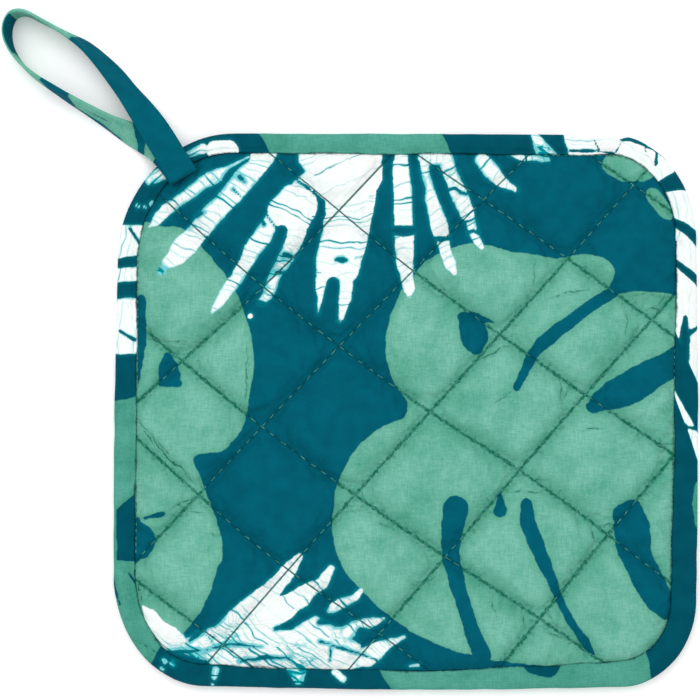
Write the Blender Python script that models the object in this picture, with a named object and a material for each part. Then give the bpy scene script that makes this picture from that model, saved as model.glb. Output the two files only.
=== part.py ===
"""A quilted cloth pot holder with a bound edge and a hanging loop, lying flat on its back.

Blender 4.5 script: blender --background --python part.py, or run it from the text editor.
The model is in metres with +Z up. The origin is on the surface it lies on, under the middle of the pad.
Sizes in this file are written in millimetres and turned to metres by MM.

Three sewn pieces make it: the quilted pad, the strip that binds its edge, and the strip that is folded
into the hanging loop and sewn down on the binding at one corner.
"""

import math

import bmesh
import bpy
import numpy as np

MM = 0.001
SHARP_DEGREES = 50.0  # edges that turn by more than this are shaded sharp

# One row for each rounded corner of the outline, anticlockwise from the right: the centre of its
# elliptical arc, how far the arc reaches from that centre along X and Y, and the binding's width there.
CORNERS = (
    # centre_x, centre_y, reach_x, reach_y, binding_width
    (71.8, 60.0, 30.5, 37.1, 7.2),  # top right
    (-59.5, 52.3, 41.3, 45.2, 7.0),  # top left, where the loop is sewn on
    (-70.0, -57.2, 32.2, 39.2, 7.6),  # bottom left
    (75.3, -66.0, 27.0, 30.8, 9.3),  # bottom right
)
CORNER_STEPS = 14
SIDE_STEPS = 5

# The quilting seams. Those that fall to the right are given by their Y at five stations along X, and
# those that rise to the right by their X at five stations along Y. The first and last row of each
# table lie wholly outside the pad and only close the outermost pockets of filling.
STATIONS = np.array([-100.0, -50.0, 0.0, 50.0, 100.0])
FALLING_SEAMS = np.array([
    # y at x -100, -50, 0, 50, 100
    (246.0, 211.0, 176.0, 141.0, 106.0),
    (204.0, 169.5, 135.0, 100.0, 65.5),
    (164.5, 128.5, 93.0, 58.5, 22.0),
    (129.0, 92.5, 51.5, 15.0, -19.0),
    (88.5, 44.0, 6.0, -27.5, -65.5),
    (36.0, -5.5, -41.5, -74.5, -109.5),
    (-4.0, -48.5, -84.5, -123.5, -159.0),
    (-55.0, -92.0, -129.0, -165.0, -201.0),
    (-97.0, -134.0, -171.0, -207.0, -243.0),
])
RISING_SEAMS = np.array([
    # x at y -100, -50, 0, 50, 100
    (-279.0, -229.0, -178.0, -126.0, -76.0),
    (-199.5, -148.5, -97.0, -43.0, 5.0),
    (-140.5, -92.0, -45.0, 3.5, 53.5),
    (-79.5, -36.0, 9.0, 54.0, 98.5),
    (-28.0, 15.0, 58.0, 102.5, 146.0),
    (25.0, 65.5, 107.0, 148.5, 189.5),
    (88.0, 129.0, 171.0, 213.0, 255.0),
])
FALLING_SLOPE = -0.72  # beyond the outer stations
RISING_SLOPE = 0.95
# Where the pad's faces have points between one seam and the next, as shares of the way across.
POCKET_SHARES = (0.0, 0.07, 0.22, 0.5, 0.78, 0.93)
CROSSING_ROUNDS = 60  # rounds of going from one seam to the other until they meet

# The pad's heights above the surface it lies on.
FACE_SEAM_HEIGHT = 5.3
FACE_CROWN_HEIGHT = 8.4
BACK_SEAM_HEIGHT = 0.9
FACE_EDGE_HEIGHT = 5.0
BACK_EDGE_HEIGHT = 0.7
EDGE_SLOPE_WIDTH = 12.0
SWELL_POWER = 0.6
BACK_FLAT_FROM = 0.19  # the back lies flat where the filling has this share of its full swell

# The binding: cloth folded double and wrapped round the pad's pressed edge.
BINDING_THICKNESS = 1.0
BINDING_SIDE_TOP = 6.2
SEWN_GAP = 0.3
RIM_THICKNESS = 3.2
RIM_TOP = BINDING_THICKNESS + SEWN_GAP + RIM_THICKNESS
LAP_UNDERSIDE = RIM_TOP + SEWN_GAP
DITCH_WIDTH = 0.6  # between the binding's inner edge and the swelling of the pad

# The hanging loop: a strip of cloth folded flat.
LOOP_WIDTH = 10.4
LOOP_THICKNESS = 1.4
LOOP_EDGE_ROUND = 0.45
LOOP_STEPS_PER_ROW = 3
# One row for each place along its middle line, from the end sewn down first, out along the lower
# strand, round the bend and back to the end sewn down last: x, y, the height of the strip's lowest
# edge, and its roll in degrees, 0 lying flat and 90 standing on its outer edge.
LOOP_PATH = np.array([
    # x, y, lowest_edge, roll
    (-77.4, 81.7, 6.6, 0.0),
    (-81.2, 87.0, 6.6, 0.0),
    (-85.8, 92.0, 5.2, 6.0),
    (-91.0, 95.2, 2.2, 22.0),
    (-96.6, 97.6, 0.3, 46.0),
    (-103.3, 101.2, 0.0, 64.0),
    (-112.0, 106.2, 0.0, 76.0),
    (-122.5, 112.7, 0.0, 84.0),
    (-131.3, 118.8, 0.0, 88.0),
    (-137.0, 125.8, 0.0, 92.0),
    (-138.8, 132.6, 0.0, 98.0),
    (-136.6, 137.9, 0.0, 96.0),
    (-132.2, 139.0, 0.0, 90.0),
    (-126.0, 135.4, 0.0, 88.0),
    (-119.0, 131.3, 0.0, 84.0),
    (-112.0, 126.9, 0.0, 74.0),
    (-104.0, 119.2, 0.3, 60.0),
    (-95.6, 109.7, 2.6, 44.0),
    (-89.5, 101.4, 6.4, 22.0),
    (-85.1, 94.7, 8.4, 4.0),
    (-81.2, 88.4, 8.5, 0.0),
    (-77.0, 81.7, 8.5, 0.0),
])


def clear_scene():
    """Removes every object that the file opened with."""
    for obj in list(bpy.data.objects):
        bpy.data.objects.remove(obj)


def make_collections():
    """The pot holder's own collection, and one for the shapes that only trim it."""
    holder = bpy.data.collections.new("pot_holder")
    cutters = bpy.data.collections.new("cutters")
    for collection in (holder, cutters):
        bpy.context.scene.collection.children.link(collection)
    return holder, cutters


def cloth(name, colour, roughness):
    """A dyed cotton: a dull, non-metallic Principled BSDF of one colour."""
    material = bpy.data.materials.new(name)
    material.use_nodes = True
    shader = material.node_tree.nodes["Principled BSDF"]
    shader.inputs["Base Color"].default_value = (*colour, 1.0)
    shader.inputs["Roughness"].default_value = roughness
    shader.inputs["Metallic"].default_value = 0.0
    material.diffuse_color = (*colour, 1.0)
    return material


def outline():
    """Points round the outer edge, anticlockwise, with the outward normal and binding width at each.

    Each corner is a quarter ellipse, and each side runs straight from one corner's end to the next."""
    points, normals, widths = [], [], []
    for number, (cx, cy, reach_x, reach_y, width) in enumerate(CORNERS):
        turn = (number + np.linspace(0.0, 1.0, CORNER_STEPS + 1)) * math.pi / 2
        arc = np.column_stack([cx + reach_x * np.cos(turn), cy + reach_y * np.sin(turn)])
        facing = np.column_stack([np.cos(turn) / reach_x, np.sin(turn) / reach_y])
        points.append(arc)
        normals.append(facing / np.linalg.norm(facing, axis=1, keepdims=True))
        widths.append(np.full(len(arc), width))
    sides = []
    for number in range(len(CORNERS)):
        after = (number + 1) % len(CORNERS)
        share = np.linspace(0.0, 1.0, SIDE_STEPS + 1)[1:-1, None]
        side = points[number][-1] * (1 - share) + points[after][0] * share
        facing = normals[number][-1] * (1 - share) + normals[after][0] * share
        width = widths[number][-1] * (1 - share[:, 0]) + widths[after][0] * share[:, 0]
        sides.append((side, facing / np.linalg.norm(facing, axis=1, keepdims=True), width))
    parts = []
    for corner, side in zip(zip(points, normals, widths), sides):
        parts += [corner, side]
    return tuple(np.concatenate(column) for column in zip(*parts))


def distance_to(points, loop):
    """How far each point lies from a closed loop of straight pieces."""
    start = loop
    along = np.roll(loop, -1, axis=0) - start
    offset = points[:, None, :] - start[None, :, :]
    share = (offset * along).sum(2) / (along**2).sum(1)
    nearest = offset - np.clip(share, 0.0, 1.0)[:, :, None] * along
    return np.sqrt((nearest**2).sum(2)).min(1)


def along_seam(table, end_slope, number, place):
    """Where a seam runs: its table read at a place between stations, by a smooth cubic, and at a
    number between rows, by a straight share. Beyond the outer stations it goes on straight."""
    row = np.clip(np.floor(number).astype(int), 0, len(table) - 2)
    share = (number - row)[:, None]
    values = table[row] * (1 - share) + table[row + 1] * share
    slopes = np.gradient(values, STATIONS, axis=1)
    slopes[:, [0, -1]] = end_slope
    spacing = STATIONS[1] - STATIONS[0]
    cell = np.clip(((place - STATIONS[0]) // spacing).astype(int), 0, len(STATIONS) - 2)
    each = np.arange(len(number))
    first, last = values[each, cell], values[each, cell + 1]
    slope_in, slope_out = slopes[each, cell] * spacing, slopes[each, cell + 1] * spacing
    t = (place - STATIONS[cell]) / spacing
    held = np.clip(t, 0.0, 1.0)
    cubic = (
        first * (1 + 2 * held) * (1 - held) ** 2
        + slope_in * held * (1 - held) ** 2
        + last * held**2 * (3 - 2 * held)
        + slope_out * held**2 * (held - 1)
    )
    return cubic + np.minimum(t, 0.0) * slope_in + np.maximum(t - 1.0, 0.0) * slope_out


def crossing(falling, rising):
    """Where a falling seam meets a rising one. Numbers between two seams give places inside a pocket."""
    x = np.zeros(len(falling))
    for _ in range(CROSSING_ROUNDS):
        y = along_seam(FALLING_SEAMS, FALLING_SLOPE, falling, x)
        x = along_seam(RISING_SEAMS, RISING_SLOPE, rising, y)
    return np.column_stack([x, y])


def swell(number):
    """How far the filling swells between two seams: 0 on a seam and 1 halfway to the next."""
    across = number - np.floor(number)
    return (4 * across * (1 - across)) ** SWELL_POWER


def seam_numbers(seams):
    """The numbers at which the pad's faces have points: every seam and the shares between."""
    numbers = [row + share for row in range(len(seams) - 1) for share in POCKET_SHARES]
    return np.array([*numbers, len(seams) - 1.0])


def new_object(name, mesh, collection, material=None):
    obj = bpy.data.objects.new(name, mesh)
    collection.objects.link(obj)
    if material:
        mesh.materials.append(material)
    return obj


def flat_block(name, loop, low, high, collection):
    """A closed block of a flat outline, between two heights: a filled loop, pushed up into a solid."""
    mesh = bpy.data.meshes.new(name)
    shape = bmesh.new()
    base = shape.faces.new([shape.verts.new((x * MM, y * MM, low * MM)) for x, y in loop])
    risen = bmesh.ops.extrude_face_region(shape, geom=[base])["geom"]
    top = [part for part in risen if isinstance(part, bmesh.types.BMVert)]
    bmesh.ops.translate(shape, verts=top, vec=(0.0, 0.0, (high - low) * MM))
    bmesh.ops.recalc_face_normals(shape, faces=shape.faces)
    shape.to_mesh(mesh)
    shape.free()
    return new_object(name, mesh, collection)


def as_cutter(obj):
    obj.hide_render = True
    obj.display_type = "WIRE"
    return obj


def quilted_block(edge, normal, width, collection, material):
    """The filled part of the pad, larger than its outline: a grid whose lines are the seams, lifted
    to the face's swell, and copied down to the back."""
    falling, rising = seam_numbers(FALLING_SEAMS), seam_numbers(RISING_SEAMS)
    shape = bmesh.new()
    bmesh.ops.create_grid(shape, x_segments=len(falling) - 1, y_segments=len(rising) - 1, size=1.0)
    shape.verts.ensure_lookup_table()
    falls, rises = (a.ravel() for a in np.meshgrid(falling, rising))
    places = crossing(falls, rises)
    filled = swell(falls) * swell(rises)
    inner_edge = edge - normal * (width + DITCH_WIDTH)[:, None]
    slope = np.clip(distance_to(places, inner_edge) / EDGE_SLOPE_WIDTH, 0.0, 1.0)
    slope = np.sin(slope * math.pi / 2)
    face = FACE_SEAM_HEIGHT + (FACE_CROWN_HEIGHT - FACE_SEAM_HEIGHT) * filled
    face = FACE_EDGE_HEIGHT + (face - FACE_EDGE_HEIGHT) * slope
    back = BACK_SEAM_HEIGHT * (1 - np.clip(filled / BACK_FLAT_FROM, 0.0, 1.0))
    back = np.maximum(back, BACK_EDGE_HEIGHT * (1 - np.clip(slope * 3, 0.0, 1.0)))
    place_number = shape.verts.layers.int.new("place_number")
    for number, (vert, (x, y)) in enumerate(zip(shape.verts, places)):
        vert.co = (x * MM, y * MM, face[number] * MM)
        vert[place_number] = number
    lowered = bmesh.ops.extrude_face_region(shape, geom=list(shape.faces))["geom"]
    for part in lowered:
        if isinstance(part, bmesh.types.BMVert):
            part.co.z = back[part[place_number]] * MM
    bmesh.ops.triangulate(shape, faces=shape.faces)
    bmesh.ops.recalc_face_normals(shape, faces=shape.faces)
    mesh = bpy.data.meshes.new("quilted_pad")
    shape.to_mesh(mesh)
    shape.free()
    mesh.shade_smooth()
    mesh.set_sharp_from_angle(angle=math.radians(SHARP_DEGREES))
    return new_object("quilted_pad", mesh, collection, material)


def add_boolean(obj, operation, other):
    modifier = obj.modifiers.new(operation.lower(), "BOOLEAN")
    modifier.operation = operation
    modifier.solver = "EXACT"
    modifier.object = other


def make_pad(holder, cutters, material):
    """The quilted pad: the swelling block, trimmed just inside the binding, joined to the pressed
    rim that the binding holds."""
    edge, normal, width = outline()
    pad = quilted_block(edge, normal, width, holder, material)
    inside = edge - normal * (width + DITCH_WIDTH)[:, None]
    trim = as_cutter(flat_block("pad_trim", inside, -5.0, 20.0, cutters))
    rim_edge = edge - normal * (BINDING_THICKNESS + SEWN_GAP)
    rim = as_cutter(flat_block("pressed_rim", rim_edge, RIM_TOP - RIM_THICKNESS, RIM_TOP, cutters))
    add_boolean(pad, "INTERSECT", trim)
    add_boolean(pad, "UNION", rim)
    return pad


def binding_section(width):
    """The binding's cut face: distance in from the outer edge, and height. It is a flat hook that
    starts at the back lap's inner end, goes round the outer edge, and returns inside the fold."""
    wall = BINDING_THICKNESS
    return np.array([
        (width, 0.0),
        (2.2, 0.0),
        (0.7, 0.5),
        (0.0, 2.0),
        (0.0, 3.8),
        (0.7, 5.3),
        (2.4, BINDING_SIDE_TOP - 0.1),
        (width * 0.6, BINDING_SIDE_TOP),
        (width - 0.7, BINDING_SIDE_TOP - 0.3),
        (width, 5.3),
        (width, LAP_UNDERSIDE),
        (wall, LAP_UNDERSIDE),
        (wall, wall),
        (width, wall),
    ])


def loft(name, sections, closed, collection, material):
    """A skin over a row of cut faces, each a closed ring of as many points. A row that doesn't close
    on itself gets its two end faces."""
    shape = bmesh.new()
    rings = [[shape.verts.new(tuple(point * MM)) for point in section] for section in sections]
    pairs = zip(rings, rings[1:] + rings[:1]) if closed else zip(rings, rings[1:])
    for ring, after in pairs:
        for k, point in enumerate(ring):
            beside = (k + 1) % len(ring)
            shape.faces.new((point, ring[beside], after[beside], after[k]))
    if not closed:
        shape.faces.new(rings[0])
        shape.faces.new(rings[-1])
    bmesh.ops.recalc_face_normals(shape, faces=shape.faces)
    mesh = bpy.data.meshes.new(name)
    shape.to_mesh(mesh)
    shape.free()
    mesh.shade_smooth()
    mesh.set_sharp_from_angle(angle=math.radians(SHARP_DEGREES))
    return new_object(name, mesh, collection, material)


def make_binding(holder, material):
    """The edge binding: its cut face carried all the way round the outline."""
    edge, normal, width = outline()
    sections = []
    for place, facing, lap in zip(edge, normal, width):
        inset, height = binding_section(lap).T
        sections.append(np.column_stack([place - np.outer(inset, facing), height]))
    return loft("edge_binding", sections, True, holder, material)


def smooth_rows(table, steps):
    """A table's rows with more rows between them, on a Catmull-Rom curve through all of them."""
    padded = np.vstack([2 * table[0] - table[1], table, 2 * table[-1] - table[-2]])
    rows = []
    for before, start, end, after in zip(padded, padded[1:], padded[2:], padded[3:]):
        for t in np.arange(steps) / steps:
            rows.append(0.5 * (
                2 * start
                + (end - before) * t
                + (2 * before - 5 * start + 4 * end - after) * t**2
                + (3 * start - before - 3 * end + after) * t**3
            ))
    return np.array([*rows, table[-1]])


def loop_section():
    """The strip's cut face: a flat bar with its four edges rounded off by one facet each."""
    half, thick, cut = LOOP_WIDTH / 2, LOOP_THICKNESS / 2, LOOP_EDGE_ROUND
    return np.array([
        (-half + cut, -thick),
        (half - cut, -thick),
        (half, -thick + cut),
        (half, thick - cut),
        (half - cut, thick),
        (-half + cut, thick),
        (-half, thick - cut),
        (-half, -thick + cut),
    ])


def make_loop(holder, material):
    """The hanging loop: its cut face carried along the path, rolled about the path's direction."""
    rows = smooth_rows(LOOP_PATH, LOOP_STEPS_PER_ROW)
    middle, lowest, roll = rows[:, :2], np.maximum(rows[:, 2], 0.0), np.radians(rows[:, 3])
    heading = np.gradient(middle, axis=0)
    heading /= np.linalg.norm(heading, axis=1, keepdims=True)
    inward = np.column_stack([heading[:, 1], -heading[:, 0], np.zeros(len(rows))])
    up = np.array([0.0, 0.0, 1.0])
    section = loop_section()
    sections = []
    for place, low, turn, inner in zip(middle, lowest, roll, inward):
        across = math.cos(turn) * inner + math.sin(turn) * up
        facing = math.cos(turn) * up - math.sin(turn) * inner
        ring = np.outer(section[:, 0], across) + np.outer(section[:, 1], facing)
        ring[:, :2] += place
        ring[:, 2] += low - ring[:, 2].min()
        sections.append(ring)
    return loft("hanging_loop", sections, False, holder, material)


def main():
    clear_scene()
    holder, cutters = make_collections()
    teal = cloth("dyed_cotton_teal", (0.0, 0.106, 0.149), 0.8)
    sage = cloth("dyed_cotton_sage", (0.131, 0.433, 0.319), 0.8)
    deep = cloth("dyed_cotton_deep_teal", (0.0, 0.09, 0.13), 0.78)
    make_pad(holder, cutters, teal)
    make_binding(holder, sage)
    make_loop(holder, deep)


main()
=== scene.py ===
"""A quilted pot holder of wax-resist dyed cotton, with a bound edge and a loop of folded strip.

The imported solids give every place. The cloth, its print, its creases and its sewing are made here over
them. Sizes are written in millimetres and turned to metres by MM.
"""

import functools
import math

import bpy
import numpy as np
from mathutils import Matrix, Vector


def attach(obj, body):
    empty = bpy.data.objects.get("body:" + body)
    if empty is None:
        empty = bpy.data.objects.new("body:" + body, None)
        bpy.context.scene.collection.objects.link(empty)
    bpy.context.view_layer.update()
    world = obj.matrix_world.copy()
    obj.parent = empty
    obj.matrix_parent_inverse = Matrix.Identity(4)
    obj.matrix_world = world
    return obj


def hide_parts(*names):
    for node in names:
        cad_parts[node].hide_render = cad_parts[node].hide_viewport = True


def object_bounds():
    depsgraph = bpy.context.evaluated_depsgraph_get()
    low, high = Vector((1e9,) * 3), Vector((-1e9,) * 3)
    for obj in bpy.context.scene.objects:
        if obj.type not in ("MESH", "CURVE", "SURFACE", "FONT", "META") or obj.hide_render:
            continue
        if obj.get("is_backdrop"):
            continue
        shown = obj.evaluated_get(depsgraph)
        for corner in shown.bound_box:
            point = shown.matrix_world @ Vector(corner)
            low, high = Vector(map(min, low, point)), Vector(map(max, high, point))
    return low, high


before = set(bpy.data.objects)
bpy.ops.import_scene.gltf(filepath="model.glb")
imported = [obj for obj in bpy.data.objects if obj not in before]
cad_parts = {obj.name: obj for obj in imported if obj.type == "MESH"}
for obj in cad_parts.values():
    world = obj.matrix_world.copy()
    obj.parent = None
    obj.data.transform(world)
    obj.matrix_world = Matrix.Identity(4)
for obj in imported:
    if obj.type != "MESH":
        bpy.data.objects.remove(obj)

MM = 0.001
CAD_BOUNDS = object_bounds()

# The outline: one row for each rounded corner, anticlockwise from the top right.
CORNERS = (
    # centre_x, centre_y, reach_x, reach_y, binding_width
    (71.8, 60.0, 30.5, 37.1, 7.2),
    (-59.5, 52.3, 41.3, 45.2, 7.0),
    (-70.0, -57.2, 32.2, 39.2, 7.6),
    (75.3, -66.0, 27.0, 30.8, 9.3),
)
SIDES = (
    # how far each side after its corner bows outwards, and how much wider the binding is, at its middle
    (0.0, 0.0),
    (0.4, 0.5),
    (1.1, -1.6),
    (0.6, 0.2),
)
OUTLINE_STEPS = 60  # points on each corner and each side before they are spaced out evenly

# The quilting seams, read at five stations: falling seams by their Y, rising seams by their X.
STATIONS = np.array([-100.0, -50.0, 0.0, 50.0, 100.0])
FALLING_SEAMS = np.array([
    # y at x -100, -50, 0, 50, 100
    (246.0, 211.0, 176.0, 141.0, 106.0),
    (204.0, 169.5, 135.0, 100.0, 65.5),
    (164.5, 128.5, 93.0, 58.5, 22.0),
    (129.0, 92.5, 51.5, 15.0, -19.0),
    (88.5, 44.0, 6.0, -27.5, -65.5),
    (36.0, -5.5, -41.5, -74.5, -109.5),
    (-4.0, -48.5, -84.5, -123.5, -159.0),
    (-55.0, -92.0, -129.0, -165.0, -201.0),
    (-97.0, -134.0, -171.0, -207.0, -243.0),
])
RISING_SEAMS = np.array([
    # x at y -100, -50, 0, 50, 100
    (-279.0, -229.0, -178.0, -126.0, -76.0),
    (-199.5, -148.5, -97.0, -43.0, 5.0),
    (-140.5, -92.0, -45.0, 3.5, 53.5),
    (-79.5, -36.0, 9.0, 54.0, 98.5),
    (-28.0, 15.0, 58.0, 102.5, 146.0),
    (25.0, 65.5, 107.0, 148.5, 189.5),
    (88.0, 129.0, 171.0, 213.0, 255.0),
])
FALLING_ACROSS = 0.81  # share of a step in Y that lies square to a falling seam
RISING_ACROSS = 0.72  # share of a step in X that lies square to a rising seam
FALLING_SPACING = 34.0  # from one falling seam to the next, square to them
RISING_SPACING = 37.0

# The pad's cloth.
FACE_CELLS = (280, 268)
SEAM_HEIGHT = 5.1
CROWN_RISE = 2.5
CROWN_REACH = 6.0  # how far from a seam the filling has most of its height
VALLEY_ROUND = 0.8
UNDER_BINDING = 1.0  # over this distance the pad eases to the rim that the binding holds
BACK_SEAM_RISE = 0.8
BACK_SEAM_REACH = 1.6
BACK_EDGE_REACH = 2.0
RIM_INSET = 1.6
RIM_TOP = 4.3
RIM_BOTTOM = 1.5
DITCH_HEIGHT = 4.9
EDGE_SLOPE = 8.0
PUCKER_DEPTH = 0.20
PUCKER_REACH = 2.6
PUCKER_STRAIGHT = 0.9  # nearer to a seam than this the cloth lies straight again
ALONG_FALLING = (0.81, -0.58)  # the seams' own directions
ALONG_RISING = (0.72, 0.70)
EDGE_FOLD_DEPTH = 0.25
EDGE_FOLD_REACH = 3.5
CREASE_SLOPE = 0.55  # depth of a crease for each millimetre inside its edge

# How the face cloth settles: a simulation at a size that the solver handles well.
SETTLING_SCALE = 0.02  # metres there for each millimetre here
SETTLING_FRAMES = 22
SPARE_CLOTH = 0.045  # how much more cloth there is than its seams take up
STUFFING_PRESSURE = 3.5
SEWN_REACH = 0.85  # cloth this near to a seam is held by it
HELD_BESIDE_BINDING = 0.3
MOST_MOVED = 1.5

# The main creases of the face, listed as brush strokes of x, y, half width.
CREASES = (
    ((45.1, 53.7, 0.4), (45.1, 48.8, 0.9), (44.8, 43.2, 0.3)),
    ((50.0, 39.0, 0.3), (57.7, 41.1, 1.1), (65.5, 42.5, 0.3)),
    ((77.0, 35.5, 0.3), (77.0, 31.3, 0.9), (76.6, 27.1, 0.3)),
    ((84.3, 35.5, 0.3), (87.5, 36.2, 1.0), (90.6, 35.9, 0.3)),
    ((90.6, 41.8, 0.3), (89.6, 37.6, 0.9), (87.8, 32.7, 0.3)),
    ((78.8, 40.4, 0.3), (85.8, 41.8, 1.0), (92.0, 42.5, 0.4)),
    ((53.9, 11.0, 0.3), (54.6, 6.8, 0.9), (54.9, 1.9, 0.3)),
    ((57.7, 9.6, 0.3), (56.7, 6.1, 0.8), (55.3, 2.6, 0.3)),
    ((25.5, 18.0, 0.5), (31.1, 20.1, 1.1), (37.4, 23.6, 0.4)),
    ((31.1, 2.6, 0.3), (33.9, 5.1, 0.9), (37.4, 7.2, 0.3)),
    ((58.4, -7.5, 0.3), (64.0, -6.5, 0.9), (69.6, -6.1, 0.3)),
    ((87.5, -11.7, 0.5), (91.0, -12.1, 1.0), (94.8, -11.4, 0.4)),
    ((43.8, -23.3, 0.3), (47.2, -24.3, 0.8), (50.4, -24.0, 0.3)),
    ((68.9, -40.4, 0.3), (71.0, -39.7, 1.0), (74.5, -40.4, 0.3)),
    ((58.4, -53.0, 0.3), (61.2, -52.7, 0.8), (64.8, -52.3, 0.3)),
    ((40.6, -70.2, 0.3), (41.3, -73.0, 0.8), (42.0, -76.5, 0.3)),
    ((29.0, -65.3, 0.3), (30.4, -68.1, 0.8), (31.8, -72.3, 0.3)),
    ((48.6, -77.2, 0.3), (52.1, -78.6, 0.9), (57.0, -79.3, 0.3)),
    ((64.8, -40.8, 0.3), (65.5, -43.6, 0.8), (66.1, -46.4, 0.3)),
    ((-94.1, -2.3, 0.4), (-89.2, -7.9, 1.2), (-85.8, -12.4, 1.4), (-82.2, -17.0, 1.3),
     (-77.3, -20.5, 1.0), (-73.1, -26.1, 0.4)),
    ((-82.2, -33.8, 0.3), (-78.0, -32.0, 0.9), (-73.1, -30.3, 0.4)),
    ((-71.8, 20.8, 0.3), (-71.8, 17.3, 0.8), (-71.4, 13.1, 0.3)),
    ((-85.8, 25.0, 0.3), (-78.8, 24.7, 0.9), (-69.6, 24.0, 0.4)),
    ((-55.3, 24.3, 0.3), (-54.9, 14.5, 1.0), (-55.6, 4.7, 0.4)),
    ((-56.3, -0.2, 0.3), (-51.4, 0.9, 0.9), (-45.1, 0.5, 0.3)),
    ((-46.5, -1.6, 0.3), (-45.5, -4.4, 0.9), (-44.4, -7.5, 0.3)),
    ((-75.9, -35.2, 0.3), (-72.8, -35.5, 0.8), (-68.9, -36.6, 0.3)),
    ((-69.6, -42.5, 0.3), (-66.8, -43.2, 0.8), (-63.3, -43.2, 0.3)),
    ((-89.9, 29.9, 0.3), (-88.2, 25.7, 1.0), (-83.6, 22.2, 0.4)),
    ((-93.8, -59.0, 0.4), (-93.1, -63.2, 1.0), (-92.0, -68.1, 0.3)),
    ((-15.0, -28.2, 0.3), (-14.3, -31.0, 0.8), (-13.6, -33.1, 0.3)),
    ((-19.9, -35.2, 0.3), (-17.1, -35.2, 0.8), (-15.0, -34.8, 0.3)),
    ((-10.8, -38.0, 0.3), (-7.3, -40.1, 0.8), (-3.8, -40.8, 0.3)),
    ((23.4, -39.4, 0.3), (24.8, -39.0, 0.9), (26.6, -38.0, 0.3)),
    ((32.5, -28.2, 0.3), (43.8, -28.5, 0.8), (50.0, -28.9, 0.3)),
    ((5.2, -61.8, 0.3), (8.8, -59.0, 0.7), (12.2, -57.2, 0.3)),
)

# The binding.
BINDING_STEPS = 1300
BINDING_SECTION_STEPS = 2
BINDING_WANDER = 0.35  # how far its width comes and goes
BINDING_FOLD_DEPTH = 0.22  # small folds that start at its sewn side
BINDING_FOLD_REACH = 1.8
BINDING_SWELL = 0.26  # soft swells all over its face
BINDING_STITCH_DIP = 0.32  # how far the row of stitches presses it in, this far from its sewn side
BINDING_STITCH_ROW = 1.1
BINDING_EDGE_WANDER = 0.12

# The loop's path: from the end sewn down first, out along the lower strand, and back.
LOOP_WIDTH = 10.4
LOOP_THICKNESS = 1.4
LOOP_STEPS = 18
LOOP_RIPPLE = 0.10
LOOP_END_THINNER = 0.45  # share of its thickness that the strip loses where it is sewn down
LOOP_PATH = np.array([
    # x, y, lowest_edge, roll
    (-77.4, 81.7, 6.6, 0.0),
    (-81.2, 87.0, 6.6, 0.0),
    (-85.8, 92.0, 5.2, 6.0),
    (-91.0, 95.2, 2.2, 22.0),
    (-96.6, 97.6, 0.3, 46.0),
    (-103.3, 101.2, 0.0, 64.0),
    (-112.0, 106.2, 0.0, 76.0),
    (-122.5, 112.7, 0.0, 84.0),
    (-131.6, 119.0, 0.0, 88.0),
    (-137.5, 126.1, 0.0, 92.0),
    (-139.5, 133.0, 0.0, 98.0),
    (-137.6, 138.5, 0.0, 96.0),
    (-132.9, 139.6, 0.0, 90.0),
    (-126.2, 136.3, 0.0, 88.0),
    (-118.8, 132.4, 0.0, 82.0),
    (-111.6, 127.8, 0.0, 70.0),
    (-103.6, 119.8, 0.3, 56.0),
    (-95.6, 109.7, 2.6, 44.0),
    (-89.5, 101.4, 6.4, 22.0),
    (-85.1, 94.7, 8.4, 4.0),
    (-81.2, 88.4, 8.5, 0.0),
    (-77.0, 81.7, 8.5, 0.0),
])

# The sewing.
QUILTING_PITCH = 4.4
QUILTING_LENGTH = 2.7
EDGE_PITCH = 2.4
EDGE_LENGTH = 1.5
THREAD_WIDTH = 0.42
THREAD_SIDES = 6
STITCH_DIP = 0.30  # how far a stitch's ends go down into the cloth
STITCH_RISE = 0.05  # how far its middle lies above the seam
EDGE_RISE = 0.25
EDGE_INSIDE = 0.25  # how far inside the binding its stitches come up
SEAM_END = 0.6  # quilting stops this far inside the binding
SEAM_SAMPLES = np.arange(-104.0, 104.0, 0.25)
LEAST_POINTS = 20  # a shorter stretch of a seam has no stitches
LEAST_SHOWN = 10

# Where the stitches that hold the binding come up into sight: boxes of x and y.
EDGE_STITCH_SHOWS = (
    # x_low, y_low, x_high, y_high
    (-100.0, -4.0, -88.0, 64.0),
    (-100.0, -52.0, -88.0, -30.0),
    (86.0, -60.0, 100.0, 26.0),
    (80.0, -90.0, 93.0, -76.0),
    (-20.0, -90.0, 44.0, -80.0),
    (44.0, 80.0, 80.0, 92.0),
)

# The print. Leaves are groups of round lobes: centre, reach and turn in degrees.
LEAF_LOBES = np.array([
    # x, y, reach_x, reach_y, turn
    (18.5, 29.5, 23.0, 30.5, -30.0),
    (38.5, 45.5, 32.5, 9.5, -4.0),
    (63.0, 49.0, 10.0, 6.0, 0.0),
    (84.5, 24.0, 22.5, 18.5, -3.0),
    (-2.5, -33.5, 22.5, 31.0, -13.0),
    (51.0, -12.0, 52.0, 52.5, 0.0),
    (54.5, -59.0, 69.0, 30.5, -3.0),
    (-114.0, 42.5, 39.0, 67.5, 58.0),
    (-62.0, 3.5, 6.5, 17.5, -16.0),
    (-86.5, -8.5, 7.5, 49.0, 26.0),
    (-91.0, -56.5, 23.5, 30.0, -26.0),
    (-72.0, -2.0, 16.0, 12.0, 20.0),
    (-93.0, -22.0, 9.0, 17.0, 0.0),
    (79.5, 86.5, 10.5, 6.0, 0.0),
    (89.0, 72.5, 6.5, 3.0, -55.0),
])
LOBE_BLEND = 1.5

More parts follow.
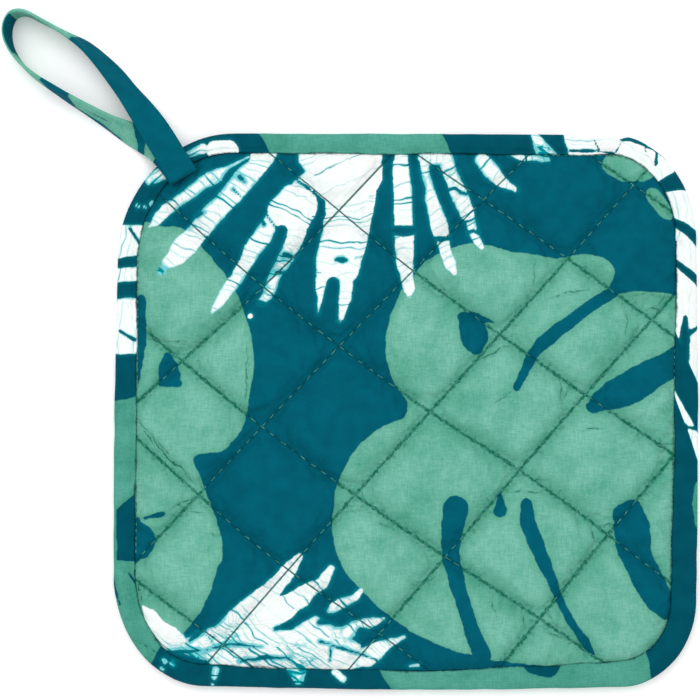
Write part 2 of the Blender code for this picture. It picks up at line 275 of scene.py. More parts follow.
# Gaps in the leaves where the ground shows: brush strokes, each a row of x, y, half width.
LEAF_GAPS = (
    ((20.3, 32.7, 2.1), (23.4, 29.9, 4.9), (24.1, 25.7, 4.9), (24.8, 22.6, 2.8)),
    ((25.5, 32.7, 1.8), (31.5, 31.3, 0.2)),
    ((73.0, 41.8, 1.9), (64.8, 36.8, 2.2), (54.0, 28.8, 2.4), (48.3, 24.2, 2.3), (44.2, 19.1, 1.9),
     (41.7, 13.9, 1.6), (38.9, 8.3, 1.2)),
    ((96.9, 18.7, 4.9), (92.0, 15.9, 4.9), (85.8, 12.8, 5.2), (79.4, 8.9, 5.6), (73.8, 6.1, 5.2),
     (68.9, 4.0, 3.8), (66.1, 1.2, 2.4)),
    ((17.5, -33.8, 4.4), (16.8, -38.7, 4.2), (16.1, -45.3, 3.5), (16.4, -52.7, 3.1), (18.5, -61.8, 2.8),
     (21.0, -69.1, 2.4), (22.8, -75.4, 2.4), (26.6, -84.5, 3.1)),
    ((33.2, -28.2, 0.3), (33.4, -31.7, 1.4), (33.4, -34.8, 2.4)),
    ((42.3, -32.7, 1.9), (43.0, -39.7, 2.8), (45.1, -45.0, 2.8), (49.3, -54.8, 2.1), (54.2, -66.0, 1.4),
     (58.4, -73.7, 1.4), (63.3, -81.0, 1.6), (65.8, -85.2, 0.7)),
    ((75.9, -35.5, 3.5), (78.8, -35.2, 4.5), (79.4, -41.5, 6.3), (80.1, -49.2, 5.6), (84.0, -57.2, 5.6),
     (88.5, -65.3, 5.2), (92.0, -68.8, 4.2)),
    ((-1.5, 3.0, 1.2), (-0.6, 0.2, 1.0)),
    ((-83.2, 19.2, 1.7), (-83.0, 15.0, 3.5), (-82.2, 11.8, 3.9)),
    ((-85.2, 9.4, 1.0), (-79.2, 9.4, 1.5)),
    ((-92.2, 39.0, 1.8), (-92.2, 23.3, 1.6), (-93.6, 9.6, 0.2)),
    ((-90.0, 69.8, 3.6), (-84.0, 67.8, 3.4), (-77.0, 67.3, 3.0), (-72.0, 66.0, 2.0)),
    ((-94.1, -38.0, 1.0), (-93.8, -45.3, 6.6), (-94.1, -52.0, 1.0)),
    ((-91.0, -37.3, 0.3), (-84.7, -35.5, 0.9)),
)

# White fronds: one brush stroke for each finger, from its root to its tip.
FROND_FINGERS = (
    ((-53.5, 89.8, 0.5), (-57.7, 87.0, 0.5), (-61.9, 84.5, 0.8), (-65.5, 82.1, 2.4), (-70.0, 79.6, 2.1),
     (-75.2, 75.8, 2.1), (-80.1, 73.0, 1.8), (-83.6, 70.5, 2.4), (-86.8, 66.3, 1.8),
     (-89.6, 64.4, 0.4)),
    ((-49.3, 90.8, 4.5), (-51.4, 85.9, 3.5), (-56.0, 81.0, 3.8), (-60.5, 75.4, 3.5), (-64.8, 70.9, 3.3),
     (-69.3, 66.3, 3.8), (-72.8, 62.5, 3.5), (-76.6, 57.9, 4.2), (-79.4, 54.4, 3.5),
     (-82.6, 51.6, 2.1)),
    ((-84.7, 48.8, 1.6), (-84.6, 48.8, 1.6)),
    ((-26.2, 88.0, 2.8), (-33.2, 82.4, 2.4), (-36.0, 77.5, 4.2), (-38.1, 72.3, 7.3), (-40.2, 69.5, 7.7),
     (-43.8, 64.9, 3.1)),
    ((-44.4, 69.1, 2.8), (-50.0, 61.4, 3.1), (-53.2, 56.9, 2.8), (-55.3, 52.3, 2.3), (-59.1, 46.7, 2.4),
     (-63.3, 41.5, 2.1), (-66.1, 36.9, 1.4), (-67.5, 34.8, 0.7)),
    ((-37.8, 62.8, 3.1), (-40.2, 56.5, 2.8), (-42.7, 52.0, 2.6), (-44.8, 48.8, 2.1), (-46.5, 44.6, 2.3),
     (-48.3, 40.4, 1.8), (-50.0, 38.3, 1.4)),
    ((-54.1, 33.1, 0.8), (-54.0, 33.1, 0.8)),
    ((-22.0, 90.8, 15.4), (-20.6, 84.5, 12.9), (-18.9, 76.5, 9.1), (-19.6, 68.8, 8.4),
     (-21.3, 60.0, 8.0), (-23.4, 52.3, 7.7), (-23.4, 50.2, 7.0)),
    ((-29.0, 48.1, 2.1), (-29.4, 44.3, 1.8), (-29.4, 39.7, 0.9), (-30.4, 34.5, 0.2)),
    ((-19.9, 50.2, 3.5), (-20.6, 46.0, 2.4), (-21.0, 39.7, 2.1), (-22.4, 33.1, 0.9)),
    ((-23.1, 32.0, 0.5), (-23.0, 32.0, 0.5)),
    ((-1.0, 90.8, 2.1), (-1.4, 84.5, 2.8), (-0.7, 77.5, 3.1), (-0.7, 68.8, 3.1), (-0.3, 60.0, 3.3),
     (0.0, 52.3, 3.1), (0.7, 46.7, 2.4), (1.4, 42.5, 1.8), (1.8, 40.1, 1.0)),
    ((6.6, 88.7, 1.8), (7.3, 81.7, 1.4), (8.4, 78.2, 1.2), (9.1, 74.0, 2.1), (10.5, 68.8, 2.8),
     (12.2, 64.2, 3.1), (13.3, 59.7, 2.4), (14.3, 55.8, 2.1), (16.1, 51.6, 2.1), (17.5, 48.5, 1.0)),
    ((14.3, 88.7, 2.8), (15.7, 83.8, 2.4), (17.5, 79.3, 2.8), (19.2, 74.7, 3.1), (21.3, 70.5, 2.8),
     (22.8, 67.0, 1.8), (23.8, 62.8, 1.4), (25.5, 59.0, 1.4), (26.9, 57.2, 1.0)),
    ((26.9, 88.0, 2.4), (29.7, 84.5, 3.1), (33.2, 81.0, 2.1), (36.4, 78.9, 1.4), (38.8, 77.5, 0.7)),
    ((36.4, 90.1, 0.3), (40.2, 89.1, 1.0), (45.1, 88.4, 1.2), (50.0, 88.0, 0.9)),
    ((6.8, 88.9, 2.4), (14.5, 88.9, 2.4)),
    ((-36.8, -50.6, 1.0), (-39.9, -54.4, 2.4), (-43.4, -59.0, 3.1), (-47.9, -63.9, 3.8),
     (-52.5, -68.1, 4.9), (-57.7, -73.0, 5.2), (-61.9, -77.2, 4.9)),
    ((-25.5, -54.8, 1.4), (-29.0, -60.0, 2.1), (-32.5, -61.8, 2.4), (-35.7, -64.6, 3.5),
     (-39.5, -67.4, 3.8), (-43.8, -70.2, 4.9)),
    ((-15.4, -62.1, 0.7), (-17.8, -64.9, 1.4), (-21.7, -67.0, 1.9), (-25.2, -68.8, 1.8),
     (-26.6, -69.8, 1.0)),
    ((-7.7, -72.3, 0.9), (-10.8, -73.3, 1.8), (-15.0, -75.1, 2.4), (-18.5, -76.1, 2.1),
     (-21.7, -77.9, 2.8), (-26.2, -79.3, 4.2)),
    ((0.0, -78.9, 0.7), (-2.4, -80.0, 1.0), (-5.9, -81.4, 1.8), (-9.4, -83.5, 2.8), (-12.9, -85.9, 3.5),
     (-16.4, -87.7, 2.1)),
    ((-66.5, -80.0, 4.9), (-57.7, -78.6, 7.7), (-50.0, -76.5, 9.1), (-39.5, -75.8, 8.4),
     (-29.0, -80.0, 6.3), (-19.2, -84.2, 4.2)),
    ((-66.5, -84.9, 4.9), (-50.8, -84.2, 7.0), (-33.2, -85.6, 7.0), (-19.2, -87.0, 3.5)),
    ((-91.7, -68.1, 0.5), (-89.2, -71.2, 2.1), (-86.4, -75.8, 3.1), (-82.9, -78.6, 3.8),
     (-78.8, -80.0, 2.4), (-76.3, -80.0, 0.7)),
    ((-85.8, -82.8, 1.0), (-78.8, -82.1, 1.4), (-71.8, -80.0, 2.8), (-67.5, -81.4, 3.5)),
    ((-84.3, -85.6, 0.7), (-76.6, -85.6, 1.0), (-68.2, -85.9, 2.1)),
    ((1.7, -89.3, 0.5), (4.6, -88.9, 0.6)),
)

FIRST_SLANTED = 22  # from this stroke on, the cracks slant down to the right instead
CRACK_SLANT = (0.42, 0.9)  # and follow one another in this direction
STROKE_STEP = 40.0  # one stroke's number differs from the next one's by this, so that their cracks differ

# Bands and spots where the wax broke and the dye went right through the white.
FROND_GAPS = (
    ((-43.3, 63.2, 2.0), (-44.5, 60.5, 2.2)),
    ((-25.3, 44.9, 2.2), (-25.4, 42.0, 2.4)),
    ((-4.9, 63.5, 1.4), (-0.3, 63.2, 1.8), (3.8, 63.5, 1.8)),
    ((8.8, 60.7, 0.5), (12.6, 60.4, 1.0), (16.4, 60.7, 0.7)),
    ((14.3, 77.5, 0.5), (17.5, 77.9, 0.5), (21.3, 76.1, 0.7)),
    ((19.2, 66.3, 0.3), (22.8, 66.7, 0.5), (25.5, 67.4, 0.3)),
    ((21.3, 62.1, 0.5), (24.1, 62.8, 0.7), (26.9, 61.4, 0.5)),
    ((-24.1, 53.0, 0.7), (-22.0, 52.7, 1.1), (-20.6, 52.7, 0.5)),
    ((-17.5, 53.7, 0.2), (-12.6, 54.1, 0.4)),
    ((-43.0, 85.2, 0.3), (-36.8, 80.3, 0.6), (-29.7, 74.4, 0.3)),
    ((-48.6, 69.1, 0.3), (-45.1, 64.2, 0.5)),
    ((-57.7, 81.7, 0.8), (-55.6, 79.6, 0.3)),
    ((-73.1, 68.4, 0.9), (-69.6, 69.8, 0.3)),
    ((-59.8, 77.5, 0.4), (-56.7, 74.4, 0.3)),
    ((-70.3, 61.4, 0.4), (-66.8, 60.0, 0.3)),
    ((-42.3, 55.1, 1.0), (-39.5, 54.1, 0.6)),
    ((-45.1, 48.8, 0.6), (-41.6, 48.8, 0.3)),
    ((-53.5, 39.0, 1.0), (-49.3, 36.9, 1.2)),
    ((-52.5, 68.8, 0.3), (-49.3, 65.6, 0.6)),
    ((-15.4, -77.9, 2.4), (-10.8, -78.6, 2.1), (-5.9, -77.5, 2.1), (-3.1, -75.8, 2.1)),
    ((-54.2, -58.3, 1.0), (-50.0, -59.7, 0.3)),
    ((-36.8, -70.2, 0.5), (-32.5, -68.1, 0.8), (-29.0, -66.0, 1.0)),
    ((-30.4, -73.7, 0.7), (-24.5, -72.6, 1.2), (-19.2, -70.2, 1.4)),
    ((-75.2, -80.0, 0.5), (-71.8, -77.2, 1.0), (-69.6, -75.8, 0.7)),
    ((-69.6, -83.5, 0.3), (-60.5, -81.4, 0.4), (-50.0, -82.1, 0.2)),
    ((-57.7, -87.7, 0.3), (-50.0, -85.6, 0.6), (-40.2, -86.3, 0.3)),
    ((-83.0, -86.0, 1.0), (-75.0, -86.5, 1.5), (-69.5, -88.5, 0.8)),
    ((-29.0, -67.5, 2.0), (-34.9, -71.0, 2.0), (-40.0, -74.3, 1.8), (-45.0, -75.8, 0.6)),
    ((-29.8, -80.0, 0.5), (-20.0, -83.3, 0.3), (-9.8, -87.1, 0.4)),
    ((-26.2, -80.5, 0.3), (-26.2, -86.8, 0.5)),
)

# The binding's own print. Its patches end in slanted cuts, each given by how far along the edge it
# meets the outer and the inner side, anticlockwise from the top right corner.
BINDING_LEAVES = (
    # start_outer, start_inner, end_outer, end_inner
    (112.1, 108.9, 176.3, 172.0),
    (301.3, 299.6, 340.3, 333.6),
    (356.4, 357.4, 396.9, 395.0),
    (483.7, 479.4, 575.0, 579.0),
)
BINDING_WHITES = (
    # start_outer, start_inner, end_outer, end_inner
    (25.8, 26.4, 69.7, 67.6),
    (78.5, 71.4, 81.1, 79.1),
    (239.2, 237.1, 251.2, 249.9),
    (254.6, 254.1, 259.7, 259.0),
    (265.4, 265.0, 284.9, 284.6),
    (656.9, 680.7, 667.1, 682.5),
    (684.2, 702.8, 718.5, 725.5),
    (722.7, 728.3, 732.7, 740.2),
    (3.4, 9.2, 17.9, 21.1),
)
BINDING_LEAF_DROPS = (
    ((102.3, -25.0, 0.5), (102.3, -32.5, 1.7), (102.3, -40.0, 0.5)),
    ((-102.5, -35.0, 1.4), (-102.3, -45.0, 1.2), (-101.8, -52.0, 1.0)),
)
BINDING_LEAF_GAPS = (
    ((46.5, -87.0, 5.4), (49.5, -88.0, 5.0)),
    ((-102.4, -58.0, 0.3), (-101.7, -62.5, 0.7), (-99.9, -67.5, 0.3)),
    ((-98.0, -54.8, 0.1), (-94.4, -59.9, 0.3), (-92.6, -66.1, 0.1)),
    ((-94.9, -80.0, 0.1), (-91.5, -81.5, 0.3), (-87.2, -84.2, 0.2)),
)
BINDING_WHITE_DROPS = (
    ((-75.5, 90.3, 1.2), (-70.8, 92.0, 1.9)),
    ((-66.5, 91.7, 3.2), (-61.5, 91.5, 3.2)),
    ((-89.5, 81.0, 1.8), (-84.8, 83.4, 2.6)),
    ((-93.6, 72.0, 1.1), (-93.5, 72.0, 1.1)),
    ((-91.2, 71.6, 0.9), (-91.1, 71.6, 0.9)),
    ((-88.4, 72.5, 1.3), (-88.3, 72.6, 1.3)),
    ((-66.2, -90.6, 1.3), (-66.6, -93.0, 1.0)),
    ((-67.5, -95.6, 0.5), (-67.3, -95.7, 0.5)),
    ((-37.8, -90.0, 3.6), (-37.2, -94.0, 1.8)),
    ((-24.6, -91.2, 1.3), (-21.8, -93.6, 1.4)),
    ((-84.4, -87.0, 1.0), (-84.0, -87.6, 1.0)),
    ((-81.5, -87.8, 1.1), (-81.2, -88.2, 1.0)),
    ((-85.2, -89.9, 0.8), (-84.8, -90.2, 0.7)),
    ((-79.4, -85.4, 0.7), (-78.8, -85.8, 0.6)),
)
BINDING_WHITE_GAPS = (
    ((75.4, 95.0, 0.5), (79.3, 95.2, 1.0), (83.6, 93.4, 0.6), (88.2, 91.1, 0.2), (93.6, 86.7, 0.2)),
    ((75.6, 94.0, 0.2), (73.8, 90.8, 0.1)),
    ((83.6, 93.1, 0.1), (84.6, 90.0, 0.1), (86.5, 87.7, 0.1)),
    ((88.3, 91.0, 0.2), (88.0, 88.5, 0.5), (87.8, 86.3, 0.6)),
    ((66.2, 95.0, 0.3), (68.0, 91.3, 0.7)),
    ((57.8, 91.2, 0.4), (67.5, 91.2, 0.5), (73.0, 90.4, 0.3)),
    ((98.1, 33.0, 0.6), (97.7, 25.7, 1.9), (97.4, 18.0, 2.2), (97.6, 11.0, 1.6)),
    ((98.1, 26.5, 1.0), (102.6, 29.4, 0.5)),
    ((-96.3, 64.1, 0.4), (-94.0, 60.5, 0.5), (-92.0, 56.9, 0.4)),
    ((-99.8, 28.2, 0.3), (-94.6, 25.0, 0.6)),
    ((96.0, -5.0, 0.3), (102.8, -6.2, 0.4)),
)

# The loop's print, by how far along the strip from its lower end, and how far each cut slants.
LOOP_LEAVES = (
    # start, end, slant_of_start, slant_of_end
    (13.0, 19.0, 0.3, 0.3),
    (23.0, 48.0, 0.5, 0.4),
    (60.0, 113.5, 0.3, -0.1),
)
# Ground shows in the leaf patches as strokes of distance along, distance across, half width.
LOOP_GAPS = (
    ((28.0, -5.2, 1.0), (37.0, -5.2, 2.8), (46.0, -5.2, 1.8)),
    ((34.0, 1.4, 0.15), (38.5, 0.8, 0.4), (43.0, 0.9, 0.15)),
)
LOOP_END_DARK = 0.8  # the cloth is drawn in, and is darkened as painted shade, this near to where its end is sewn down
LOOP_BARE_INSIDE = (74.0, 89.0)  # where the inner face of the bend shows the ground instead

# Where the wax cracked most, so that dye ran in: x, y, reach, strength.
CRACKLE_SPOTS = (
    (-62.0, -82.0, 13.0, 0.42),
    (-80.0, -86.0, 10.0, 0.45),
    (-36.0, -82.0, 12.0, 0.36),
    (-44.0, -68.0, 8.0, -0.4),
    (-20.0, -74.0, 8.0, 0.25),
    (-66.0, 79.0, 9.0, 0.35),
    (-75.0, 68.0, 8.0, 0.25),
    (-84.7, 48.8, 2.5, 0.75),
    (-56.0, 80.0, 6.0, 0.15),
    (-50.0, 47.0, 8.0, 0.25),
    (-42.0, 52.0, 7.0, 0.35),
    (-36.0, 84.0, 7.0, 0.25),
    (-40.0, 66.0, 5.0, -0.3),
    (-20.0, 82.0, 14.0, -0.5),
    (-21.0, 62.0, 8.0, 0.1),
    (20.0, 88.0, 10.0, 0.30),
    (7.0, 78.0, 6.0, 0.25),
    (-76.0, 91.0, 3.5, 0.7),
    (-64.0, 91.6, 6.0, -0.5),
    (-87.0, 82.0, 6.0, 0.4),
    (-92.0, 72.0, 5.0, 0.5),
    (-37.5, -92.0, 6.0, 0.7),
    (-83.0, -88.0, 5.0, 0.5),
    (48.0, 91.0, 4.0, 0.7),
    (82.0, 92.0, 16.0, -0.35),
    (98.0, 40.0, 24.0, -0.2),
    (-54.0, 33.1, 2.0, -1.0),
    (-84.0, -76.0, 7.0, -0.5),
)
CRACKLE_EVERYWHERE = 0.30
CRACK_SPACING = 2.4  # from one crack across a finger to the next, on average
CRACK_WIDEST = 0.34  # half of the widest crack

# The noises that vary the cloth: the size of their patches, and how many finer ones lie in them.
CLOTH_NOISE = (
    # patch_size, detail
    (5.0, 2.0),  # slow wander of the wax
    (0.9, 3.0),  # ragged edges
    (7.0, 1.0),  # drift of the cracks
    (3.2, 4.0),  # chance of a crack
    (5.5, 2.0),  # blotches of dye
    (11.0, 4.0),  # patches of leaf colour
    (1.1, 2.0),  # jitter of the sewing
    (0.6, 2.0),  # grain
)
THREAD_STRETCH = ((2.3, 0.36, 0.3), (0.36, 2.3, 0.3))  # warp and weft: how much finer than 1 mm each way

# Colours of the cloth as dyed, of the shade painted in its seams, folds and ditch, and of the thread.
GROUND_DARK = "#004E5E"
GROUND_LIGHT = "#005667"
GROUND_SHADE = "#00353E"
DEEPER_DYE = "#BCE1E1"  # the binding strip's share of each colour
DITCH = "#01393E"
LEAF_DARK = "#3A8A72"
LEAF_MIDDLE = "#5C9F8C"
LEAF_LIGHT = "#71AD9B"
LEAF_FOLD_SHADE_AND_DYE = "#085B44"
WHITE = "#DEE4E2"
WHITE_WARM = "#D9D3D2"
CRACK_SOFT = "#00AEB5"
CRACK_DEEP = "#007A85"
THREAD_DARK = "#1E6258"
THREAD_LIGHT = "#4B9288"


def linear(code):
    """A colour given as an sRGB hex code, as linear red, green, blue and alpha."""
    parts = [int(code[k:k + 2], 16) / 255 for k in (1, 3, 5)]
    return (*[p / 12.92 if p <= 0.04045 else ((p + 0.055) / 1.055) ** 2.4 for p in parts], 1.0)


def smooth_noise(x, y, seed):
    """Noise from -1 to 1: a random value at each whole x and y, blended between them by a smooth
    step, 3t^2 - 2t^3."""
    values = np.random.default_rng(seed).uniform(-1.0, 1.0, (256, 256))
    x0, y0 = np.floor(x).astype(int), np.floor(y).astype(int)
    u, v = x - x0, y - y0
    u, v = u * u * (3 - 2 * u), v * v * (3 - 2 * v)
    a, b = values[x0 % 256, y0 % 256], values[(x0 + 1) % 256, y0 % 256]
    c, d = values[x0 % 256, (y0 + 1) % 256], values[(x0 + 1) % 256, (y0 + 1) % 256]
    return (a * (1 - u) + b * u) * (1 - v) + (c * (1 - u) + d * u) * v


def length_along(line):
    """How far each point of a line is along it, seen from above."""
    return np.concatenate([[0.0], np.cumsum(np.linalg.norm(np.diff(line[:, :2], axis=0), axis=1))])


def spaced(line, count, closed=False):
    """A line of points again, with count points spaced evenly along it."""
    line = np.vstack([line, line[:1]]) if closed else line
    along = length_along(line)
    at = np.linspace(0.0, along[-1], count + 1)[:-1] if closed else np.linspace(0.0, along[-1], count)
    return np.column_stack([np.interp(at, along, line[:, k]) for k in range(line.shape[1])])


def outline():
    """The edge seen from above, anticlockwise: x, y, outward normal x, y, binding width. Each corner
    is a quarter ellipse, centre plus reach times cosine and sine, and each side bows out by a half sine."""
    arcs = []
    for number, (cx, cy, reach_x, reach_y, width) in enumerate(CORNERS):
        turn = (number + np.linspace(0.0, 1.0, OUTLINE_STEPS)) * math.pi / 2
        normal = np.column_stack([np.cos(turn) / reach_x, np.sin(turn) / reach_y])
        normal /= np.linalg.norm(normal, axis=1, keepdims=True)
        place = np.column_stack([cx + reach_x * np.cos(turn), cy + reach_y * np.sin(turn)])
        arcs.append(np.column_stack([place, normal, np.full(OUTLINE_STEPS, width)]))
    rows = []
    share = np.linspace(0.0, 1.0, OUTLINE_STEPS)[1:-1, None]
    for arc, after, (bow, wider) in zip(arcs, arcs[1:] + arcs[:1], SIDES):
        side = arc[-1] * (1 - share) + after[0] * share
        side[:, :2] += bow * np.sin(math.pi * share) * side[:, 2:4]
        side[:, 4:] += wider * np.sin(math.pi * share)
        rows += [arc, side]
    return np.vstack(rows)


def patch(inset, cells):
    """A grid of points that fills the outline, drawn in by inset. Four stretches of the edge, from
    middle of corner to middle of corner, are the grid's sides, and each point inside is what its two
    pairs of sides give, added, less what the four corners give."""
    edge = outline()
    edge = edge[:, :2] - edge[:, 2:4] * inset
    piece = 2 * OUTLINE_STEPS - 2
    edge = np.roll(edge, -(OUTLINE_STEPS // 2), axis=0)
    top, left, bottom, right = (np.vstack([edge, edge[:1]])[k * piece:(k + 1) * piece + 1] for k in range(4))
    across, up = cells
    top, bottom = spaced(top[::-1], across + 1), spaced(bottom, across + 1)
    left, right = spaced(left[::-1], up + 1), spaced(right, up + 1)
    s = np.linspace(0.0, 1.0, across + 1)[:, None, None]
    t = np.linspace(0.0, 1.0, up + 1)[None, :, None]
    sides = (1 - t) * bottom[:, None] + t * top[:, None] + (1 - s) * left[None] + s * right[None]
    corners = (
        (1 - s) * (1 - t) * bottom[0] + s * (1 - t) * bottom[-1] + (1 - s) * t * top[0] + s * t * top[-1]
    )
    return sides - corners


def inset_of(x, y):
    """How far each point lies inside the binding's outer edge, and the binding's width near it."""
    edge = outline()[::4]
    start = edge[:, :2].astype(np.float32)
    along = np.roll(start, -1, axis=0) - start
    offset = np.stack([x, y], -1).reshape(-1, 1, 2).astype(np.float32) - start
    share = np.clip((offset * along).sum(2) / (along**2).sum(1), 0.0, 1.0)
    gap = np.linalg.norm(offset - share[:, :, None] * along, axis=2)
    nearest = gap.argmin(1)
    return gap.min(1).reshape(x.shape), edge[nearest, 4].reshape(x.shape)


def seam_line(values, place):
    """A seam read between its stations by a cubic that keeps its slope, straight beyond them."""
    spacing = STATIONS[1] - STATIONS[0]
    slopes = np.gradient(values, STATIONS) * spacing
    cell = np.clip(((place - STATIONS[0]) // spacing).astype(int), 0, len(STATIONS) - 2)
    t = (place - STATIONS[cell]) / spacing
    h = np.clip(t, 0.0, 1.0)
    curve = (
        values[cell] * (1 + 2 * h) * (1 - h) ** 2
        + slopes[cell] * h * (1 - h) ** 2
        + values[cell + 1] * h**2 * (3 - 2 * h)
        + slopes[cell + 1] * h**2 * (h - 1)
    )
    return curve + np.minimum(t, 0.0) * slopes[cell] + np.maximum(t - 1.0, 0.0) * slopes[cell + 1]


def seam_gaps(x, y):
    """How far each point lies from the nearest falling and the nearest rising seam, square to it."""
    falling = np.min([np.abs(seam_line(row, x) - y) for row in FALLING_SEAMS], axis=0) * FALLING_ACROSS
    rising = np.min([np.abs(seam_line(row, y) - x) for row in RISING_SEAMS], axis=0) * RISING_ACROSS
    return falling, rising


def seam_numbers(x, y):
    """The quilting as two even scales: falling and rising seams each at a whole number, with the
    places between two seams in proportion."""
    scales = []
    for table, along, across in ((FALLING_SEAMS, x, y), (RISING_SEAMS, y, x)):
        lines = np.array([seam_line(row, along) for row in table])
        before, after = lines[:-1], lines[1:]
        share = (before - across) / (before - after)
        number = np.arange(len(table) - 1).reshape(-1, *[1] * x.ndim)
        inside = (share >= 0.0) & (share < 1.0)
        scales.append(np.where(inside, number + share, 0.0).sum(0))
    return scales


def pocket_swell(gap):
    """The filling's share of its full height at a distance from a seam: 1 - e^(-distance / reach),
    with the bottom of the valley rounded."""
    rounded = np.sqrt(gap**2 + VALLEY_ROUND**2) - VALLEY_ROUND
    return 1.0 - np.exp(-rounded / CROWN_REACH)


def puckers(x, y, falling, rising):
    """Small folds that run out from the seams: noise that is fine along a seam and long across it,
    fading with distance from the seam."""
    rows = (
        # seam_gap, along_seam, fold_width, fold_length, shift, seed, reach, share
        (falling, ALONG_FALLING, 1.5, 5, 7, 11, 1.0, 1.0),
        (rising, ALONG_RISING, 1.5, 5, 31, 12, 1.0, 1.0),
        (falling, ALONG_FALLING, 4.2, 9, 3, 13, 2.4, 0.8),
        (rising, ALONG_RISING, 4.2, 9, 9, 14, 2.4, 0.8),
    )
    total = 0.0
    for gap, (ax, ay), wide, long, shift, seed, reach, share in rows:
        fold = smooth_noise((ax * x + ay * y) / wide, gap / long + shift, seed)
        total += share * fold * np.exp(-gap / (reach * PUCKER_REACH))
    near = np.minimum(np.minimum(falling, rising) / PUCKER_STRAIGHT, 1.0)
    return PUCKER_DEPTH * total * near


def face_height(x, y):
    """The pad's face before it settles: the seams' height, plus the filling's swell in both
    directions multiplied, easing to the ditch beside the binding and the rim under it."""
    falling, rising = seam_gaps(x, y)
    inset, width = inset_of(x, y)
    height = SEAM_HEIGHT + CROWN_RISE * pocket_swell(falling) * pocket_swell(rising)
    eased = np.sin(np.clip((inset - width) / EDGE_SLOPE, 0.0, 1.0) * math.pi / 2)
    height = DITCH_HEIGHT + (height - DITCH_HEIGHT) * eased
    under = np.clip((width - inset) / UNDER_BINDING, 0.0, 1.0)
    return height * (1 - under) + RIM_TOP * under


def settled(start):
    """Lets the face cloth find its own shape. It is a little larger than the grid of points given,
    held along every seam and under the binding, and pushed up by the stuffing, so that it crowns
    over each pocket and puckers beside the sewing. No point may move further than MOST_MOVED."""
    scene = bpy.context.scene
    mesh = bpy.data.meshes.new("settling_cloth")
    points = (start.reshape(-1, 3) * SETTLING_SCALE).tolist()
    mesh.from_pydata(points, [], grid_faces(*start.shape[:2]).tolist())
    cloth = bpy.data.objects.new("settling_cloth", mesh)
    scene.collection.objects.link(cloth)
    x, y = start[..., 0], start[..., 1]
    inset, width = inset_of(x, y)
    held = (np.minimum(*seam_gaps(x, y)) < SEWN_REACH) | (inset < width + HELD_BESIDE_BINDING)
    group = cloth.vertex_groups.new(name="sewn")
    group.add(np.flatnonzero(held).tolist(), 1.0, "REPLACE")
    modifier = cloth.modifiers.new("settling", "CLOTH")
    settings = modifier.settings
    settings.vertex_group_mass = "sewn"
    settings.quality = 6
    settings.mass = 0.15
    settings.tension_stiffness = settings.compression_stiffness = 12.0
    settings.shear_stiffness = 5.0
    settings.bending_stiffness = 0.06
    settings.shrink_min = -SPARE_CLOTH
    settings.use_pressure = True
    settings.uniform_pressure_force = STUFFING_PRESSURE
    settings.effector_weights.gravity = 0.0
    modifier.collision_settings.use_collision = False
    modifier.point_cache.frame_end = SETTLING_FRAMES
    for step in range(1, SETTLING_FRAMES + 1):
        scene.frame_set(step)
    shaped = cloth.evaluated_get(bpy.context.evaluated_depsgraph_get()).data
    found = np.empty(start.size, np.float32)
    shaped.vertices.foreach_get("co", found)
    bpy.data.objects.remove(cloth)
    scene.frame_set(1)
    moved = found.reshape(start.shape) / SETTLING_SCALE - start
    far = np.linalg.norm(moved, axis=-1, keepdims=True)
    return moved * np.minimum(1.0, MOST_MOVED / np.maximum(far, 1e-6))


def refined(values):
    """A grid with a new row between each two, worked out from four neighbours by weights of -1, 9,
    9 and -1 sixteenths."""
    wide = np.concatenate([values[:1], values, values[-1:]])
    middle = (9 * (wide[1:-2] + wide[2:-1]) - wide[:-3] - wide[3:]) / 16
    finer = np.empty((2 * len(values) - 1, *values.shape[1:]))
    finer[::2], finer[1::2] = values, middle
    return finer


def face_surface(x, y):
    """The settled face: the start surface, moved as the cloth settled on every second point, with
    fine puckers and the listed creases pressed in."""
    start = np.stack([x, y, face_height(x, y)], -1)
    coarse = start[::2, ::2]
    moved = settled(coarse)
    moved = refined(refined(moved).transpose(1, 0, 2)).transpose(1, 0, 2)
    inset, width = inset_of(x, y)
    falling, rising = seam_gaps(x, y)
    open_cloth = np.clip((inset - width) / 1.2, 0.0, 1.0)
    edge_gap = np.maximum(inset - width, 0.0)
    edge_folds = smooth_noise((x + y) / 2.1, edge_gap / 6, 15) * np.exp(-edge_gap / EDGE_FOLD_REACH)
    pressed = puckers(x, y, falling, rising) + EDGE_FOLD_DEPTH * edge_folds
    pressed -= CREASE_SLOPE * np.maximum(strokes(x, y, CREASES)[0], 0.0)
    surface = start + moved * open_cloth[..., None]
    surface[..., 2] += pressed * open_cloth
    return surface


def back_height(x, y):
    """The pad's back: flat on what it lies on, drawn up in a round groove at each seam, and lifted
    to the rim under the binding."""
    falling, rising = seam_gaps(x, y)
    inset, width = inset_of(x, y)
    groove = BACK_SEAM_RISE * np.exp(-(np.minimum(falling, rising) / BACK_SEAM_REACH) ** 2)
    edge = BACK_SEAM_RISE * np.exp(-(np.maximum(inset - width, 0.0) / BACK_EDGE_REACH) ** 2)
    height = np.maximum(groove, edge)
    under = np.clip((width - inset) / UNDER_BINDING, 0.0, 1.0)
    return height * (1 - under) + RIM_BOTTOM * under


def stroke(x, y, rows):
    """A brush stroke of changing width along straight pieces. Gives how far each point lies inside
    its edge, how far it is along the stroke, and how far to one side of its middle."""
    inside, along, across = np.full(x.shape, -1e3), np.zeros(x.shape), np.zeros(x.shape)
    passed = 0.0
    for (x0, y0, w0), (x1, y1, w1) in zip(rows, rows[1:]):
        length = math.hypot(x1 - x0, y1 - y0)
        ux, uy = (x1 - x0) / length, (y1 - y0) / length
        on = (x - x0) * ux + (y - y0) * uy
        off = (y - y0) * ux - (x - x0) * uy
        share = np.clip(on / length, 0.0, 1.0)
        here = w0 + (w1 - w0) * share - np.hypot(on - share * length, off)
        better = here > inside
        inside = np.where(better, here, inside)
        along = np.where(better, passed + on, along)
        across = np.where(better, off, across)
        passed += length
    return inside, along, across


